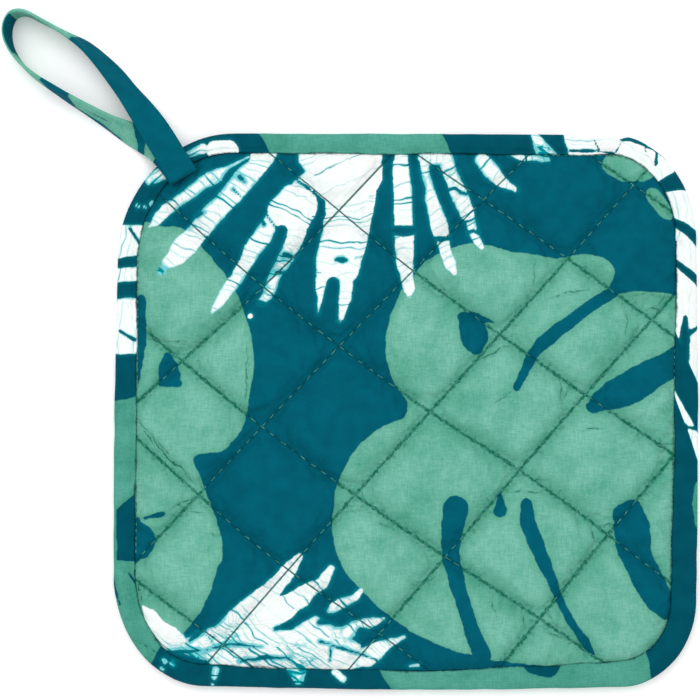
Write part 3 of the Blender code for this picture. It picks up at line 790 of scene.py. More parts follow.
def strokes(x, y, table):
    """Many strokes at once: the deepest of them at each point, and where on it the point lies, with
    a third number that tells one stroke from another."""
    inside = np.full(x.shape, -1e3)
    where = np.zeros((*x.shape, 3))
    for number, rows in enumerate(table):
        here, along, across = stroke(x, y, rows)
        better = here > inside
        inside = np.where(better, here, inside)
        place = np.stack([along, across, np.full(x.shape, STROKE_STEP * number)], -1)
        where = np.where(better[..., None], place, where)
    return inside, where


def lobes(x, y, table):
    """A group of ovals run together. Each gives k(1 - k) over the slope of k, where k is 1 on its
    edge and 0 at its centre, which is close to the distance inside. They are joined by the
    logarithm of their summed exponentials, which rounds the notches between them."""
    total = np.zeros(x.shape)
    for cx, cy, reach_x, reach_y, turn in table:
        c, s = math.cos(math.radians(turn)), math.sin(math.radians(turn))
        u, v = (x - cx) * c + (y - cy) * s, (y - cy) * c - (x - cx) * s
        k = np.sqrt((u / reach_x) ** 2 + (v / reach_y) ** 2)
        slope = np.sqrt((u / reach_x**2) ** 2 + (v / reach_y**2) ** 2)
        inside = np.clip(k * (1 - k) / np.maximum(slope, 1e-3), -40.0, 40.0)
        total += np.exp(np.minimum(inside, 12.0) / LOBE_BLEND)
    return LOBE_BLEND * np.log(total)


def grid_faces(rows, columns, close_rows=False, close_columns=False, start=0):
    """The four corners of each cell of a grid of points, anticlockwise for rows to the right and
    columns up. A closed side joins the last row or column to the first."""
    number = np.arange(rows * columns).reshape(rows, columns)
    number = np.vstack([number, number[:1]]) if close_rows else number
    number = np.hstack([number, number[:, :1]]) if close_columns else number
    a, b, c, d = number[:-1, :-1], number[1:, :-1], number[1:, 1:], number[:-1, 1:]
    return start + np.stack([a, b, c, d], -1).reshape(-1, 4)


def new_piece(name, points, faces, material, fields=None):
    """Puts points in millimetres and faces into a mesh object, with vector fields as attributes of
    its points, and lets it ride on the part."""
    mesh = bpy.data.meshes.new(name)
    mesh.from_pydata((np.asarray(points) * MM).tolist(), [], [list(face) for face in faces])
    for field, values in (fields or {}).items():
        attribute = mesh.attributes.new(field, "FLOAT_VECTOR", "POINT")
        attribute.data.foreach_set("vector", values.astype(np.float32).ravel())
    mesh.materials.append(material)
    mesh.shade_smooth()
    mesh.update()
    piece = bpy.data.objects.new(name, mesh)
    bpy.context.scene.collection.objects.link(piece)
    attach(piece, "root")
    return piece


def edge_of_grid(across, up, start=0):
    """The numbers of a grid's outermost points, once round, anticlockwise."""
    number = np.arange((across + 1) * (up + 1)).reshape(across + 1, up + 1) + start
    return np.concatenate([number[:-1, 0], number[-1, :-1], number[:0:-1, -1], number[0, :0:-1]])


def crackle_at(x, y):
    """How badly the wax cracked at each point: a level everywhere, plus a round hill at each spot."""
    spots = [s * np.exp(-((x - cx) ** 2 + (y - cy) ** 2) / reach**2) for cx, cy, reach, s in CRACKLE_SPOTS]
    return CRACKLE_EVERYWHERE + np.sum(spots, axis=0)


def face_fields(x, y):
    """What the cloth's finish reads at each point of the pad's face: how far inside a leaf and a
    white frond it lies and how cracked the wax was, where on its frond finger, where among the seams
    and how far inside the binding, and how far inside a crease."""
    leaf = np.minimum(lobes(x, y, LEAF_LOBES), -strokes(x, y, LEAF_GAPS)[0])
    white, finger = strokes(x, y, FROND_FINGERS)
    slanted = finger[..., 2] >= STROKE_STEP * FIRST_SLANTED
    ax, ay = CRACK_SLANT
    finger[..., 0] = np.where(slanted, ax * x + ay * y, finger[..., 0])
    finger[..., 1] = np.where(slanted, ay * x - ax * y, finger[..., 1])
    white = np.minimum(white, -strokes(x, y, FROND_GAPS)[0])
    creased, folded = strokes(x, y, CREASES)
    inset, width = inset_of(x, y)
    return {
        "print": np.stack([leaf, white, crackle_at(x, y)], -1).reshape(-1, 3),
        "finger": finger.reshape(-1, 3),
        "quilting": np.stack([*seam_numbers(x, y), inset - width], -1).reshape(-1, 3),
        "crease": np.stack([creased, *folded.transpose(2, 0, 1)[1:]], -1).reshape(-1, 3),
    }


def plain_fields(count):
    """The same for cloth that is dyed all over and has no seams: far outside every motif."""
    return {
        "print": np.tile([-50.0, -50.0, 0.0], (count, 1)),
        "finger": np.zeros((count, 3)),
        "quilting": np.tile([0.5, 0.5, 50.0], (count, 1)),
        "crease": np.tile([-50.0, 0.0, 0.0], (count, 1)),
    }


def make_pad(cotton):
    """The quilted pad as one closed skin: a fine grid for the face, one of half as many cells each
    way for the back, and a band of five-sided faces round the rim between them."""
    across, up = FACE_CELLS
    face = patch(RIM_INSET, FACE_CELLS)
    back = patch(RIM_INSET, (across // 2, up // 2))
    x, y = face[..., 0], face[..., 1]
    bx, by = back[..., 0], back[..., 1]
    face_points = face_surface(x, y).reshape(-1, 3)
    back_points = np.stack([bx, by, back_height(bx, by)], -1).reshape(-1, 3)
    low = len(face_points)
    face_cells = grid_faces(across + 1, up + 1)
    back_cells = grid_faces(across // 2 + 1, up // 2 + 1, start=low)[:, ::-1]
    fine, coarse = edge_of_grid(across, up), edge_of_grid(across // 2, up // 2, low)
    band = np.stack([
        coarse, np.roll(coarse, -1), np.roll(fine, -2)[::2], np.roll(fine, -1)[::2], fine[::2]
    ], -1)
    printed, plain = face_fields(x, y), plain_fields(len(back_points))
    inset, width = inset_of(bx, by)
    plain["quilting"] = np.stack([*seam_numbers(bx, by), inset - width], -1).reshape(-1, 3)
    fields = {key: np.concatenate([printed[key], plain[key]]) for key in printed}
    faces = [*face_cells.tolist(), *back_cells.tolist(), *band.tolist()]
    points = np.vstack([face_points, back_points])
    pad = new_piece("quilted_pad_cloth", points, faces, cotton, fields)
    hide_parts("quilted_pad")


def smooth_curve(before, start, end, after, steps):
    """Steps points from each start to its end, on the Catmull-Rom cubic that the rows before and
    after them bend."""
    t = (np.arange(steps) / steps)[None, :, None]
    curve = 0.5 * (
        2 * start[:, None]
        + (end - before)[:, None] * t
        + (2 * before - 5 * start + 4 * end - after)[:, None] * t**2
        + (3 * start - before - 3 * end + after)[:, None] * t**3
    )
    return curve.reshape(-1, start.shape[1])


def binding_section():
    """The binding's cut face as share of its width in from the edge, a fixed distance in, and
    height: cloth folded flat under the rim, round the outer edge, flat over it, and back inside."""
    return np.array([
        # share_of_width, in_from_there, height
        (1.0, 0.0, 0.45),
        (1.0, -0.6, 0.02),
        (0.6, 0.0, 0.0),
        (0.0, 2.4, 0.02),
        (0.0, 1.0, 0.35),
        (0.0, 0.25, 1.1),
        (0.0, 0.0, 2.4),
        (0.0, 0.0, 3.8),
        (0.0, 0.3, 4.95),
        (0.0, 1.1, 5.75),
        (0.0, 2.4, 6.12),
        (0.6, 0.0, 6.15),
        (1.0, -1.4, 5.95),
        (1.0, -0.5, 5.75),
        (1.0, 0.0, 5.35),
        (1.0, -0.1, 4.95),
        (1.0, -0.8, 4.8),
        (0.0, 2.2, 4.75),
        (0.0, 1.05, 4.0),
        (0.0, 1.05, 2.3),
        (0.0, 2.2, 1.05),
        (1.0, -0.5, 1.0),
    ])


def patches_along(s, share, length, table):
    """How far each point lies inside the nearest of the patches, each running from one slanted cut
    to the next: the lesser of the distances past its start and before its end."""
    inside = np.full(s.shape, -1e3)
    for start_outer, start_inner, end_outer, end_inner in table:
        start = start_outer + (start_inner - start_outer) * share
        end = end_outer + (end_inner - end_outer) * share
        for lap in (-length, 0.0, length):
            inside = np.maximum(inside, np.minimum(s + lap - start, end - s - lap))
    return inside


def make_binding(cotton):
    """The binding: its cut face carried round the outline. The face is puckered by noise that is
    fine along the edge and fades from the sewn side outwards, and its width wanders a little."""
    edge = spaced(outline(), BINDING_STEPS, closed=True)
    along = length_along(edge)
    corners = binding_section()
    section = smooth_curve(*[np.roll(corners, k, 0) for k in (1, 0, -1, -2)], BINDING_SECTION_STEPS)
    width = (edge[:, 4] + BINDING_WANDER * smooth_noise(along / 9, along * 0, 41))[:, None]
    inset = section[:, 0] * width + section[:, 1]
    height = np.broadcast_to(section[:, 2], inset.shape).copy()
    s = np.broadcast_to(along[:, None], inset.shape)
    top = np.clip((height - 4.9) / 0.7, 0.0, 1.0)
    beside_sewing = np.exp(-np.maximum(width - 0.6 - inset, 0.0) / BINDING_FOLD_REACH)
    height += top * beside_sewing * BINDING_FOLD_DEPTH * smooth_noise(s / 1.5, inset / 3, 42)
    height += top * BINDING_SWELL * smooth_noise(s / 3.4, inset / 2.4, 43)
    height -= top * BINDING_STITCH_DIP * np.exp(-((inset - (width - BINDING_STITCH_ROW)) / 0.45) ** 2)
    wander = BINDING_EDGE_WANDER * smooth_noise(s / 6, height / 2, 44)
    inset = inset + wander * np.clip(1.5 - inset, 0.0, 1.0)
    x = edge[:, :1] - edge[:, 2:3] * inset
    y = edge[:, 1:2] - edge[:, 3:4] * inset
    length = along[-1] + np.linalg.norm(edge[-1, :2] - edge[0, :2])
    share = np.clip(inset / width, 0.0, 1.0)
    leaf = patches_along(s, share, length, BINDING_LEAVES)
    leaf = np.minimum(leaf, -strokes(x, y, BINDING_LEAF_GAPS)[0])
    leaf = np.maximum(leaf, strokes(x, y, BINDING_LEAF_DROPS)[0])
    white = patches_along(s, share, length, BINDING_WHITES)
    white = np.maximum(white, strokes(x, y, BINDING_WHITE_DROPS)[0])
    white = np.minimum(white, -strokes(x, y, BINDING_WHITE_GAPS)[0])
    fields = {
        "print": np.stack([leaf, white, crackle_at(x, y)], -1).reshape(-1, 3),
        "finger": np.stack([inset, 0.3 * s, 0 * s], -1).reshape(-1, 3),
        "quilting": np.stack([0 * s + 0.5, 0 * s + 0.5, inset - width], -1).reshape(-1, 3),
        "crease": np.tile([-50.0, 0.0, 0.0], (s.size, 1)),
    }
    points = np.stack([x, y, height], -1).reshape(-1, 3)
    faces = grid_faces(len(edge), len(section), close_rows=True, close_columns=True)
    binding = new_piece("binding_cloth", points, faces, cotton, fields)
    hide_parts("edge_binding")


def loop_section():
    """The folded strip's cut face: a flat bar with round edges, parted by a groove along the edge
    where its two folds meet. Columns are across the strip and through it."""
    half, thick = LOOP_WIDTH / 2, LOOP_THICKNESS / 2
    across = np.linspace(-half + 0.6, half - 0.6, 9)
    under = np.column_stack([across, np.full(9, -thick)])
    fold = np.array([(half - 0.15, -thick * 0.62), (half - 0.02, 0.0), (half - 0.15, thick * 0.62)])
    meeting = np.array([
        (-half + 0.15, thick * 0.75), (-half + 0.02, thick * 0.4), (-half + 0.5, 0.0),
        (-half + 0.02, -thick * 0.4), (-half + 0.15, -thick * 0.75),
    ])
    over = np.column_stack([across[::-1], np.full(9, thick)])
    return np.vstack([under, fold, over, meeting])


def make_loop(cotton):
    """The hanging loop: the folded strip's cut face carried along its path and rolled about it,
    its faces slightly rippled by noise that is long along the strip."""
    path = np.vstack([2 * LOOP_PATH[0] - LOOP_PATH[1], LOOP_PATH, 2 * LOOP_PATH[-1] - LOOP_PATH[-2]])
    rows = smooth_curve(path[:-3], path[1:-2], path[2:-1], path[3:], LOOP_STEPS)
    rows = np.vstack([rows, LOOP_PATH[-1]])
    middle, lowest, roll = rows[:, :2], np.maximum(rows[:, 2], 0.0), np.radians(rows[:, 3])[:, None]
    heading = np.gradient(middle, axis=0)
    heading /= np.linalg.norm(heading, axis=1, keepdims=True)
    inward = np.column_stack([heading[:, 1], -heading[:, 0]])
    along = length_along(middle)[:, None]
    section = loop_section()
    v, w = section[None, :, 0], section[None, :, 1]
    to_end = np.minimum(along, along[-1] - along)
    w = w * (1.0 - LOOP_END_THINNER * np.exp(-((to_end / 1.2) ** 2)))
    w = w + LOOP_RIPPLE * np.sign(w) * (smooth_noise(along / 7 + 0 * v, v / 3 + 0 * along, 51) - 0.6)
    level = np.cos(roll) * v - np.sin(roll) * w
    height = np.sin(roll) * v + np.cos(roll) * w
    height += lowest[:, None] - height.min(1, keepdims=True)
    x, y = middle[:, :1] + level * inward[:, :1], middle[:, 1:] + level * inward[:, 1:]
    s = along + 0.0 * v
    across, through = v + 0 * s, section[None, :, 1] + 0 * s
    ends = [
        np.minimum(s - start - slant_start * across, end + slant_end * across - s)
        for start, end, slant_start, slant_end in LOOP_LEAVES
    ]
    leaf = np.minimum(np.max(ends, axis=0), -strokes(s, across, LOOP_GAPS)[0])
    bare = np.minimum(np.minimum(s - LOOP_BARE_INSIDE[0], LOOP_BARE_INSIDE[1] - s), -6 * (through + 0.1))
    fields = plain_fields(s.size)
    fields["print"] = np.stack([np.minimum(leaf, -bare), 0 * s - 50.0, 0 * s], -1).reshape(-1, 3)
    # The strip's sewn end is darkened as the ditch is: painted shade.
    fields["quilting"][:, 2] = np.maximum(along[-1] - LOOP_END_DARK - s, 0.0).ravel()
    points = np.stack([x, y, height], -1).reshape(-1, 3)
    count = len(section)
    faces = grid_faces(len(rows), count, close_columns=True)[:, ::-1].tolist()
    faces += [list(range(count)), list(range(len(points) - 1, len(points) - 1 - count, -1))]
    loop = new_piece("loop_cloth", points, faces, cotton, fields)
    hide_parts("hanging_loop")


def stitch_run(line, pitch, length, seed):
    """Where stitches lie along a line of x and y: the middle and heading of each, a pitch apart,
    each moved a little along by chance."""
    along = length_along(line)
    count = int((along[-1] - length) // pitch)
    chance = np.random.default_rng(seed).uniform(-0.12, 0.12, count) * pitch
    at = length / 2 + pitch * (0.5 + np.arange(count)) + chance
    middle = np.column_stack([np.interp(at, along, line[:, k]) for k in (0, 1)])
    ahead = np.column_stack([np.interp(at + 0.5, along, line[:, k]) for k in (0, 1)])
    heading = ahead - middle
    return np.column_stack([middle, heading / np.linalg.norm(heading, axis=1, keepdims=True)])


def make_stitches(name, runs, surface, rise, length, thread, seed, downwards=False):
    """Stitches as small rounded bars, one for each row of runs: rings whose size follows a half
    circle along the stitch, bowed so that both ends go down into the cloth."""
    rows = np.vstack(runs)
    rng = np.random.default_rng(seed)
    size = rng.uniform(0.85, 1.1, (len(rows), 1, 1))
    skew = rng.normal(0.0, 0.07, len(rows))
    hx, hy = rows[:, 2] - skew * rows[:, 3], rows[:, 3] + skew * rows[:, 2]
    t = np.array([-1.0, -0.8, -0.35, 0.35, 0.8, 1.0])
    ring = np.sqrt(np.maximum(1.0 - t**2, 0.06)) * THREAD_WIDTH / 2
    turn = np.arange(THREAD_SIDES) * math.tau / THREAD_SIDES
    run = (t * length / 2)[None, :, None] * size + 0 * turn
    side = ring[None, :, None] * np.cos(turn) + 0 * run
    lift = ring[None, :, None] * np.sin(turn) * 0.8 - STITCH_DIP * (t**4)[None, :, None] + 0 * run
    x = rows[:, 0, None, None] + run * hx[:, None, None] - side * hy[:, None, None]
    y = rows[:, 1, None, None] + run * hy[:, None, None] + side * hx[:, None, None]
    base = surface(rows[:, 0], rows[:, 1])[:, None, None]
    z = base - rise - lift if downwards else base + rise + lift
    points = np.stack([x, y, z], -1).reshape(-1, 3)
    one = grid_faces(len(t), THREAD_SIDES, close_columns=True)
    corner = np.arange(THREAD_SIDES)
    ends = np.stack([corner[::-1], len(t) * THREAD_SIDES - THREAD_SIDES + corner])
    one, ends = (one, ends[:, ::-1]) if downwards else (one[:, ::-1], ends)
    starts = (np.arange(len(rows)) * len(t) * THREAD_SIDES)[:, None, None]
    faces = [*(starts + one).reshape(-1, 4).tolist(), *(starts + ends).reshape(-1, THREAD_SIDES).tolist()]
    new_piece(name, points, faces, thread)


def seam_runs():
    """Every quilting seam as a fine line of points, as far as it is sewn."""
    at = SEAM_SAMPLES
    lines = [np.column_stack([at, seam_line(row, at)]) for row in FALLING_SEAMS[1:-1]]
    lines += [np.column_stack([seam_line(row, at), at]) for row in RISING_SEAMS[1:-1]]
    for line in lines:
        inset, width = inset_of(line[:, 0], line[:, 1])
        sewn_here = (inset > width + SEAM_END) & (np.abs(line) < 105).all(1) & inside_outline(line)
        if sewn_here.sum() > LEAST_POINTS:
            yield line[sewn_here]


def inside_outline(points):
    """Whether each point is inside the outline: it is on the inner side of the nearest edge point."""
    edge = outline()[::4]
    offset = points[:, None, :] - edge[None, :, :2]
    nearest = (offset**2).sum(2).argmin(1)
    facing = offset[np.arange(len(points)), nearest]
    return (facing * edge[nearest, 2:4]).sum(1) < 0.0


def stretches_in(line, boxes):
    """The stretches of a line that lie within any of the boxes."""
    x, y = line[:, 0], line[:, 1]
    for x_low, y_low, x_high, y_high in boxes:
        inside = (x > x_low) & (x < x_high) & (y > y_low) & (y < y_high)
        if inside.any():
            cut = np.flatnonzero(np.diff(inside.astype(int)))
            for stretch in np.split(np.arange(len(line)), cut + 1):
                if inside[stretch[0]] and len(stretch) > LEAST_SHOWN:
                    yield line[stretch]


def make_sewing(thread):
    """The quilting stitches on the face and the back, and the stitches that come up in the ditch
    beside the binding."""
    lines = enumerate(seam_runs())
    runs = [stitch_run(line, QUILTING_PITCH, QUILTING_LENGTH, 60 + k) for k, line in lines]
    make_stitches("quilting_stitches", runs, face_height, STITCH_RISE, QUILTING_LENGTH, thread, 71)
    make_stitches(
        "quilting_stitches_back", runs, back_height, STITCH_RISE, QUILTING_LENGTH, thread, 72, downwards=True
    )
    edge = spaced(outline(), BINDING_STEPS, closed=True)
    ditch = edge[:, :2] - edge[:, 2:4] * (edge[:, 4:5] + EDGE_INSIDE)
    lines = enumerate(stretches_in(ditch, EDGE_STITCH_SHOWS))
    runs = [stitch_run(line, EDGE_PITCH, EDGE_LENGTH, 91 + k) for k, line in lines]
    make_stitches("binding_stitches", runs, face_height, EDGE_RISE, EDGE_LENGTH, thread, 73)


def node(tree, kind, inputs=(), give=0, **settings):
    """Adds a node with its settings, sets each named input or links it to another's output, and
    gives the output asked for."""
    made = tree.nodes.new("ShaderNode" + kind)
    for name, value in settings.items():
        setattr(made, name, value)
    for socket, value in dict(inputs).items():
        if isinstance(value, bpy.types.NodeSocket):
            tree.links.new(value, made.inputs[socket])
        else:
            made.inputs[socket].default_value = value
    return made.outputs[give]


def new_material(name):
    """An empty material, its shader, its coordinates in millimetres, and what adds a node to it."""
    material = bpy.data.materials.new(name)
    material.use_nodes = True
    add = functools.partial(node, material.node_tree)
    place = add("TexCoord", give="Object")
    mm = add("VectorMath", {0: place, 1: (1 / MM,) * 3}, operation="MULTIPLY")
    return material, material.node_tree.nodes["Principled BSDF"], mm, add


def finish_material(material, shader, colour, relief, depth, strength, roughness, specular):
    """Gives a shader its colour, its relief of some depth in metres, and how rough and bright it is."""
    add = functools.partial(node, material.node_tree)
    bump = add("Bump", {"Height": relief, "Strength": strength, "Distance": depth})
    material.node_tree.links.new(colour, shader.inputs["Base Color"])
    material.node_tree.links.new(bump, shader.inputs["Normal"])
    shader.inputs["Roughness"].default_value = roughness
    shader.inputs["Specular IOR Level"].default_value = specular
    return material


def wax_resist_cotton(name, depth):
    """Plain-woven cotton, printed by waxing and dyeing it twice. To the eye it is dull, with edges
    that wander where the wax ran, dark veins where the wax cracked and the dye ran in, a grain of
    uneven threads, and darker, scratchy lines where the quilting draws it in, which are painted
    shade and partly dye. Depth is how much deeper it is dyed, from 0 to 1."""
    material, shader, mm, add = new_material(name)
    printed, finger, quilting, crease = [
        add("Attribute", give="Vector", attribute_name=field)
        for field in ("print", "finger", "quilting", "crease")
    ]
    leaf, white, crackle = [add("SeparateXYZ", {0: printed}, give=k) for k in range(3)]
    finger_along, finger_across, finger_number = [add("SeparateXYZ", {0: finger}, give=k) for k in range(3)]
    falling, rising, ditch = [add("SeparateXYZ", {0: quilting}, give=k) for k in range(3)]
    crease_inside, crease_across = [add("SeparateXYZ", {0: crease}, give=k) for k in range(2)]
    slow, ragged, drift, chance, blotches, patches, jitter, grain = [
        add("TexNoise", {"Vector": mm, "Scale": 1 / size, "Detail": detail}) for size, detail in CLOTH_NOISE
    ]

    # Wax runs: a slow wander and a ragged one move every edge of the print.
    wander = add("Math", {0: slow, 1: 2.4, 2: -1.2}, operation="MULTIPLY_ADD")
    wander = add("Math", {0: ragged, 1: 0.9, 2: wander}, operation="MULTIPLY_ADD")
    wander = add("Math", {0: wander, 1: 0.45}, operation="SUBTRACT")
    leaf_edge = add("Math", {0: wander, 1: 0.6, 2: leaf}, operation="MULTIPLY_ADD")
    leaf_mask = add("MapRange", {0: leaf_edge, 1: -0.15, 2: 0.15})

    # Cracks across each frond finger that come and go and thicken by chance.
    bend = finger_along
    for part, share in ((drift, 3.6), (finger_across, 0.22), (finger_number, 7.3)):
        bend = add("Math", {0: part, 1: share, 2: bend}, operation="MULTIPLY_ADD")
    rings = add("Math", {0: bend, 1: 1 / CRACK_SPACING}, operation="MULTIPLY")
    to_edge = {"voronoi_dimensions": "1D", "feature": "DISTANCE_TO_EDGE"}
    ring_gap = add("TexVoronoi", {"W": rings, "Scale": 1.0}, **to_edge)
    ring_gap = add("Math", {0: ring_gap, 1: CRACK_SPACING}, operation="MULTIPLY")
    reach = add("TexNoise", {"W": rings, "Scale": 0.55, "Detail": 2.0}, noise_dimensions="1D")
    reach = add("Math", {0: reach, 1: 4.5, 2: chance}, operation="MULTIPLY_ADD")
    reach = add("Math", {0: reach, 1: 3.18}, operation="SUBTRACT")
    reach = add("Math", {0: crackle, 1: 0.9, 2: reach}, operation="MULTIPLY_ADD")
    reach = add("Math", {0: reach, 1: 0.44, 2: -0.06}, operation="MULTIPLY_ADD")
    reach = add("Math", {0: reach, 1: CRACK_WIDEST}, operation="MINIMUM")
    ring_edge = add("Math", {0: reach, 1: ring_gap}, operation="SUBTRACT")
    ring = add("MapRange", {0: ring_edge, 1: -0.10, 2: 0.16})
    ring_glow = add("MapRange", {0: ring_edge, 1: -0.48, 2: 0.14})

    # Hair cracks lie closer, at another slant, and stay faint.
    hairs = add("Math", {0: finger_across, 1: -0.9, 2: bend}, operation="MULTIPLY_ADD")
    hair_gap = add("TexVoronoi", {"W": hairs, "Scale": 0.55}, **to_edge)
    hair_chance = add("MapRange", {0: chance, 1: 0.56, 2: 0.42, 3: 0.0, 4: 0.9})
    hair = add("MapRange", {0: hair_gap, 1: 0.02, 2: 0.12, 3: 1.0, 4: 0.0})
    for share in (hair_chance, crackle):
        hair = add("Math", {0: hair, 1: share}, operation="MULTIPLY")

    # Finer cracks, only where the wax cracked badly: the edges of long cells that slant down to the right.
    bent = add("TexNoise", {"Vector": mm, "Scale": 1 / 3.0, "Detail": 2.0}, give="Color")
    bent = add("VectorMath", {0: bent, 1: (3.0, 3.0, 0.0)}, operation="MULTIPLY")
    bent = add("VectorMath", {0: mm, 1: bent}, operation="ADD")
    long_cells = {"Vector": bent, "Rotation": (0.0, 0.0, -0.42), "Scale": (8.0, 2.4, 3.0)}
    cells = add("Mapping", long_cells, vector_type="TEXTURE")
    cell_gap = add("TexVoronoi", {"Vector": cells, "Scale": 1.0}, feature="DISTANCE_TO_EDGE")
    patchy = add("Math", {0: crackle, 1: blotches}, operation="ADD")
    cell_reach = add("MapRange", {0: patchy, 1: 1.00, 2: 1.60, 3: -0.24, 4: 0.16})
    cell_edge = add("Math", {0: cell_reach, 1: cell_gap}, operation="SUBTRACT")
    fine = add("MapRange", {0: cell_edge, 1: -0.04, 2: 0.03})
    fine_glow = add("MapRange", {0: cell_edge, 1: -0.20, 2: 0.03, 4: 0.8})

    # White: pinched where a crack meets its edge, and stained by dye that crept in from the edge.
    pinched = add("Math", {0: wander, 1: 0.55, 2: white}, operation="MULTIPLY_ADD")
    pinched = add("Math", {0: ring, 1: -0.45, 2: pinched}, operation="MULTIPLY_ADD")
    white_mask = add("MapRange", {0: pinched, 1: -0.10, 2: 0.14})
    creep = add("Math", {0: patchy, 1: -1.8, 2: 1.55}, operation="MULTIPLY_ADD")
    creep = add("Math", {0: pinched, 1: creep}, operation="ADD")
    creep = add("MapRange", {0: creep, 1: 0.0, 2: 0.7, 3: 0.8, 4: 0.0})
    stain = add("Math", {0: ring_glow, 1: fine_glow}, operation="MAXIMUM")
    stain = add("Math", {0: stain, 1: patchy}, operation="MULTIPLY")
    for other in (creep, hair):
        stain = add("Math", {0: stain, 1: other}, operation="MAXIMUM")
    vein = add("Math", {0: ring, 1: fine}, operation="MAXIMUM")
    faint = add("TexNoise", {"Vector": bent, "Scale": 1 / 7.0, "Detail": 3.0})
    faint = add("MapRange", {0: faint, 1: 0.5, 2: 0.8, 3: 0.0, 4: 0.6})

    # Threads: real ones lie 0.3 mm apart. They are drawn about 0.45 mm apart so that they show.
    warp, weft = [add("VectorMath", {0: mm, 1: stretch}, operation="MULTIPLY") for stretch in THREAD_STRETCH]
    warp, weft = [add("TexNoise", {"Vector": way, "Scale": 1.0, "Detail": 2.0}) for way in (warp, weft)]
    threads = add("Math", {0: warp, 1: weft}, operation="ADD")

    # Leaf colour varies thread by thread and in slow patches, and is darker where the dye pooled at
    # edges. The ground varies slowly, and the dye is thin beside the white.
    tone = add("MapRange", {0: threads, 1: 0.78, 2: 1.22})
    pooled = add("MapRange", {0: leaf_edge, 1: 0.1, 2: 3.2, 3: 0.55, 4: 0.0})
    darker = add("MapRange", {0: patches, 1: 0.42, 2: 0.72, 3: 0.0, 4: 0.7})
    darker = add("Math", {0: darker, 1: pooled}, operation="MAXIMUM")
    darker = add("Math", {0: ragged, 1: darker}, operation="MULTIPLY")
    darker = add("Math", {0: darker, 1: 1.7}, operation="MULTIPLY", use_clamp=True)
    ground = add("MapRange", {0: slow, 1: 0.3, 2: 0.7})
    fringe = add("MapRange", {0: pinched, 1: -1.3, 2: -0.1, 3: 0.0, 4: 0.55})

    # Seams: how far off each is, with scratchy folds that run out across it.
    gaps, folds = [], []
    for number, spacing, stretch in (
        (falling, FALLING_SPACING, (11.0, 26.0, 0.0)), (rising, RISING_SPACING, (26.0, 11.0, 0.0))
    ):
        gap = add("Math", {0: number, 1: 0.5}, operation="PINGPONG")
        gap = add("Math", {0: gap, 1: spacing}, operation="MULTIPLY")
        fold = add("VectorMath", {0: quilting, 1: stretch}, operation="MULTIPLY")
        fold = add("TexNoise", {"Vector": fold, "Scale": 1.0, "Detail": 2.0})
        near = add("MapRange", {0: gap, 1: 0.0, 2: 4.0, 3: 0.24, 4: 0.0})
        folds.append(add("Math", {0: fold, 1: near}, operation="ADD"))
        gaps.append(gap)
    seam_gap = add("Math", enumerate(gaps), operation="MINIMUM")
    folds = add("Math", enumerate(folds), operation="MAXIMUM")
    folds = add("MapRange", {0: folds, 1: 0.72, 2: 0.84})
    uneven_gap = add("Math", {0: jitter, 1: 1.7, 2: seam_gap}, operation="MULTIPLY_ADD")
    # Painted shade: the seam mask darkens the cloth in each seam's valley, and also sinks the relief there.
    seam = add("MapRange", {0: uneven_gap, 1: 0.95, 2: 1.6, 3: 0.95, 4: 0.0})
    # Painted shade: the leaf is darkened toward each seam, where the pockets dip, in slow patches.
    near_seam_shade = add("MapRange", {0: uneven_gap, 1: 0.9, 2: 7.0, 3: 1.0, 4: 0.0})
    near_seam_shade = add("Math", {0: near_seam_shade, 1: slow}, operation="MULTIPLY", use_clamp=True)
    # Painted shade: a thin dark line along each seam's groove on the white.
    thin_seam_shade = add("MapRange", {0: seam_gap, 1: 0.18, 2: 0.36, 3: 0.9, 4: 0.0})

    # Creases: a frayed dark line along the middle of each, painted shade that is partly dye.
    frayed = add("Math", {0: slow, 1: 5.0, 2: crease_across}, operation="MULTIPLY_ADD")
    frayed = add("Math", {0: ragged, 1: 1.2, 2: frayed}, operation="MULTIPLY_ADD")
    frayed = add("Math", {0: frayed, 1: 0.8}, operation="PINGPONG")
    frayed = add("MapRange", {0: frayed, 1: 0.14, 2: 0.34, 3: 0.85, 4: 0.12})
    in_crease = add("MapRange", {0: crease_inside, 1: -0.1, 2: 0.6})
    creased = add("Math", {0: frayed, 1: in_crease}, operation="MULTIPLY")

    # The ditch beside the binding, where the cloth turns down out of the light.
    ditch = add("Math", {0: ditch}, operation="ABSOLUTE")
    for part, share in ((jitter, 1.0), (slow, 1.6)):
        ditch = add("Math", {0: part, 1: share, 2: ditch}, operation="MULTIPLY_ADD")
    # Painted shade: the ditch, the binding's inner edge and the loop's sewn end are darkened in colour.
    ditch_dark = add("MapRange", {0: ditch, 1: 1.1, 2: 1.7, 3: 0.75, 4: 0.0})

    # Painted shade, partly dye: leaf cloth is darkened in every fold, crease and seam. Ground is
    # darkened at the seams and the ditch as painted shade, and white shows the seams as thin painted shade
    # lines.
    leaf_fold_shade_and_dye = add("Math", {0: folds, 1: 0.35}, operation="MULTIPLY")
    for other in (creased, seam):
        leaf_fold_shade_and_dye = add("Math", {0: leaf_fold_shade_and_dye, 1: other}, operation="MAXIMUM")
    # Painted shade on the ground at the seams and in the ditch.
    ground_shade = add("Math", {0: seam, 1: ditch_dark}, operation="MAXIMUM")
    ground_shade = add("Math", {0: ground_shade, 1: 0.6}, operation="MULTIPLY")
    fold_stain = add("Math", {0: folds, 1: crackle}, operation="MULTIPLY")

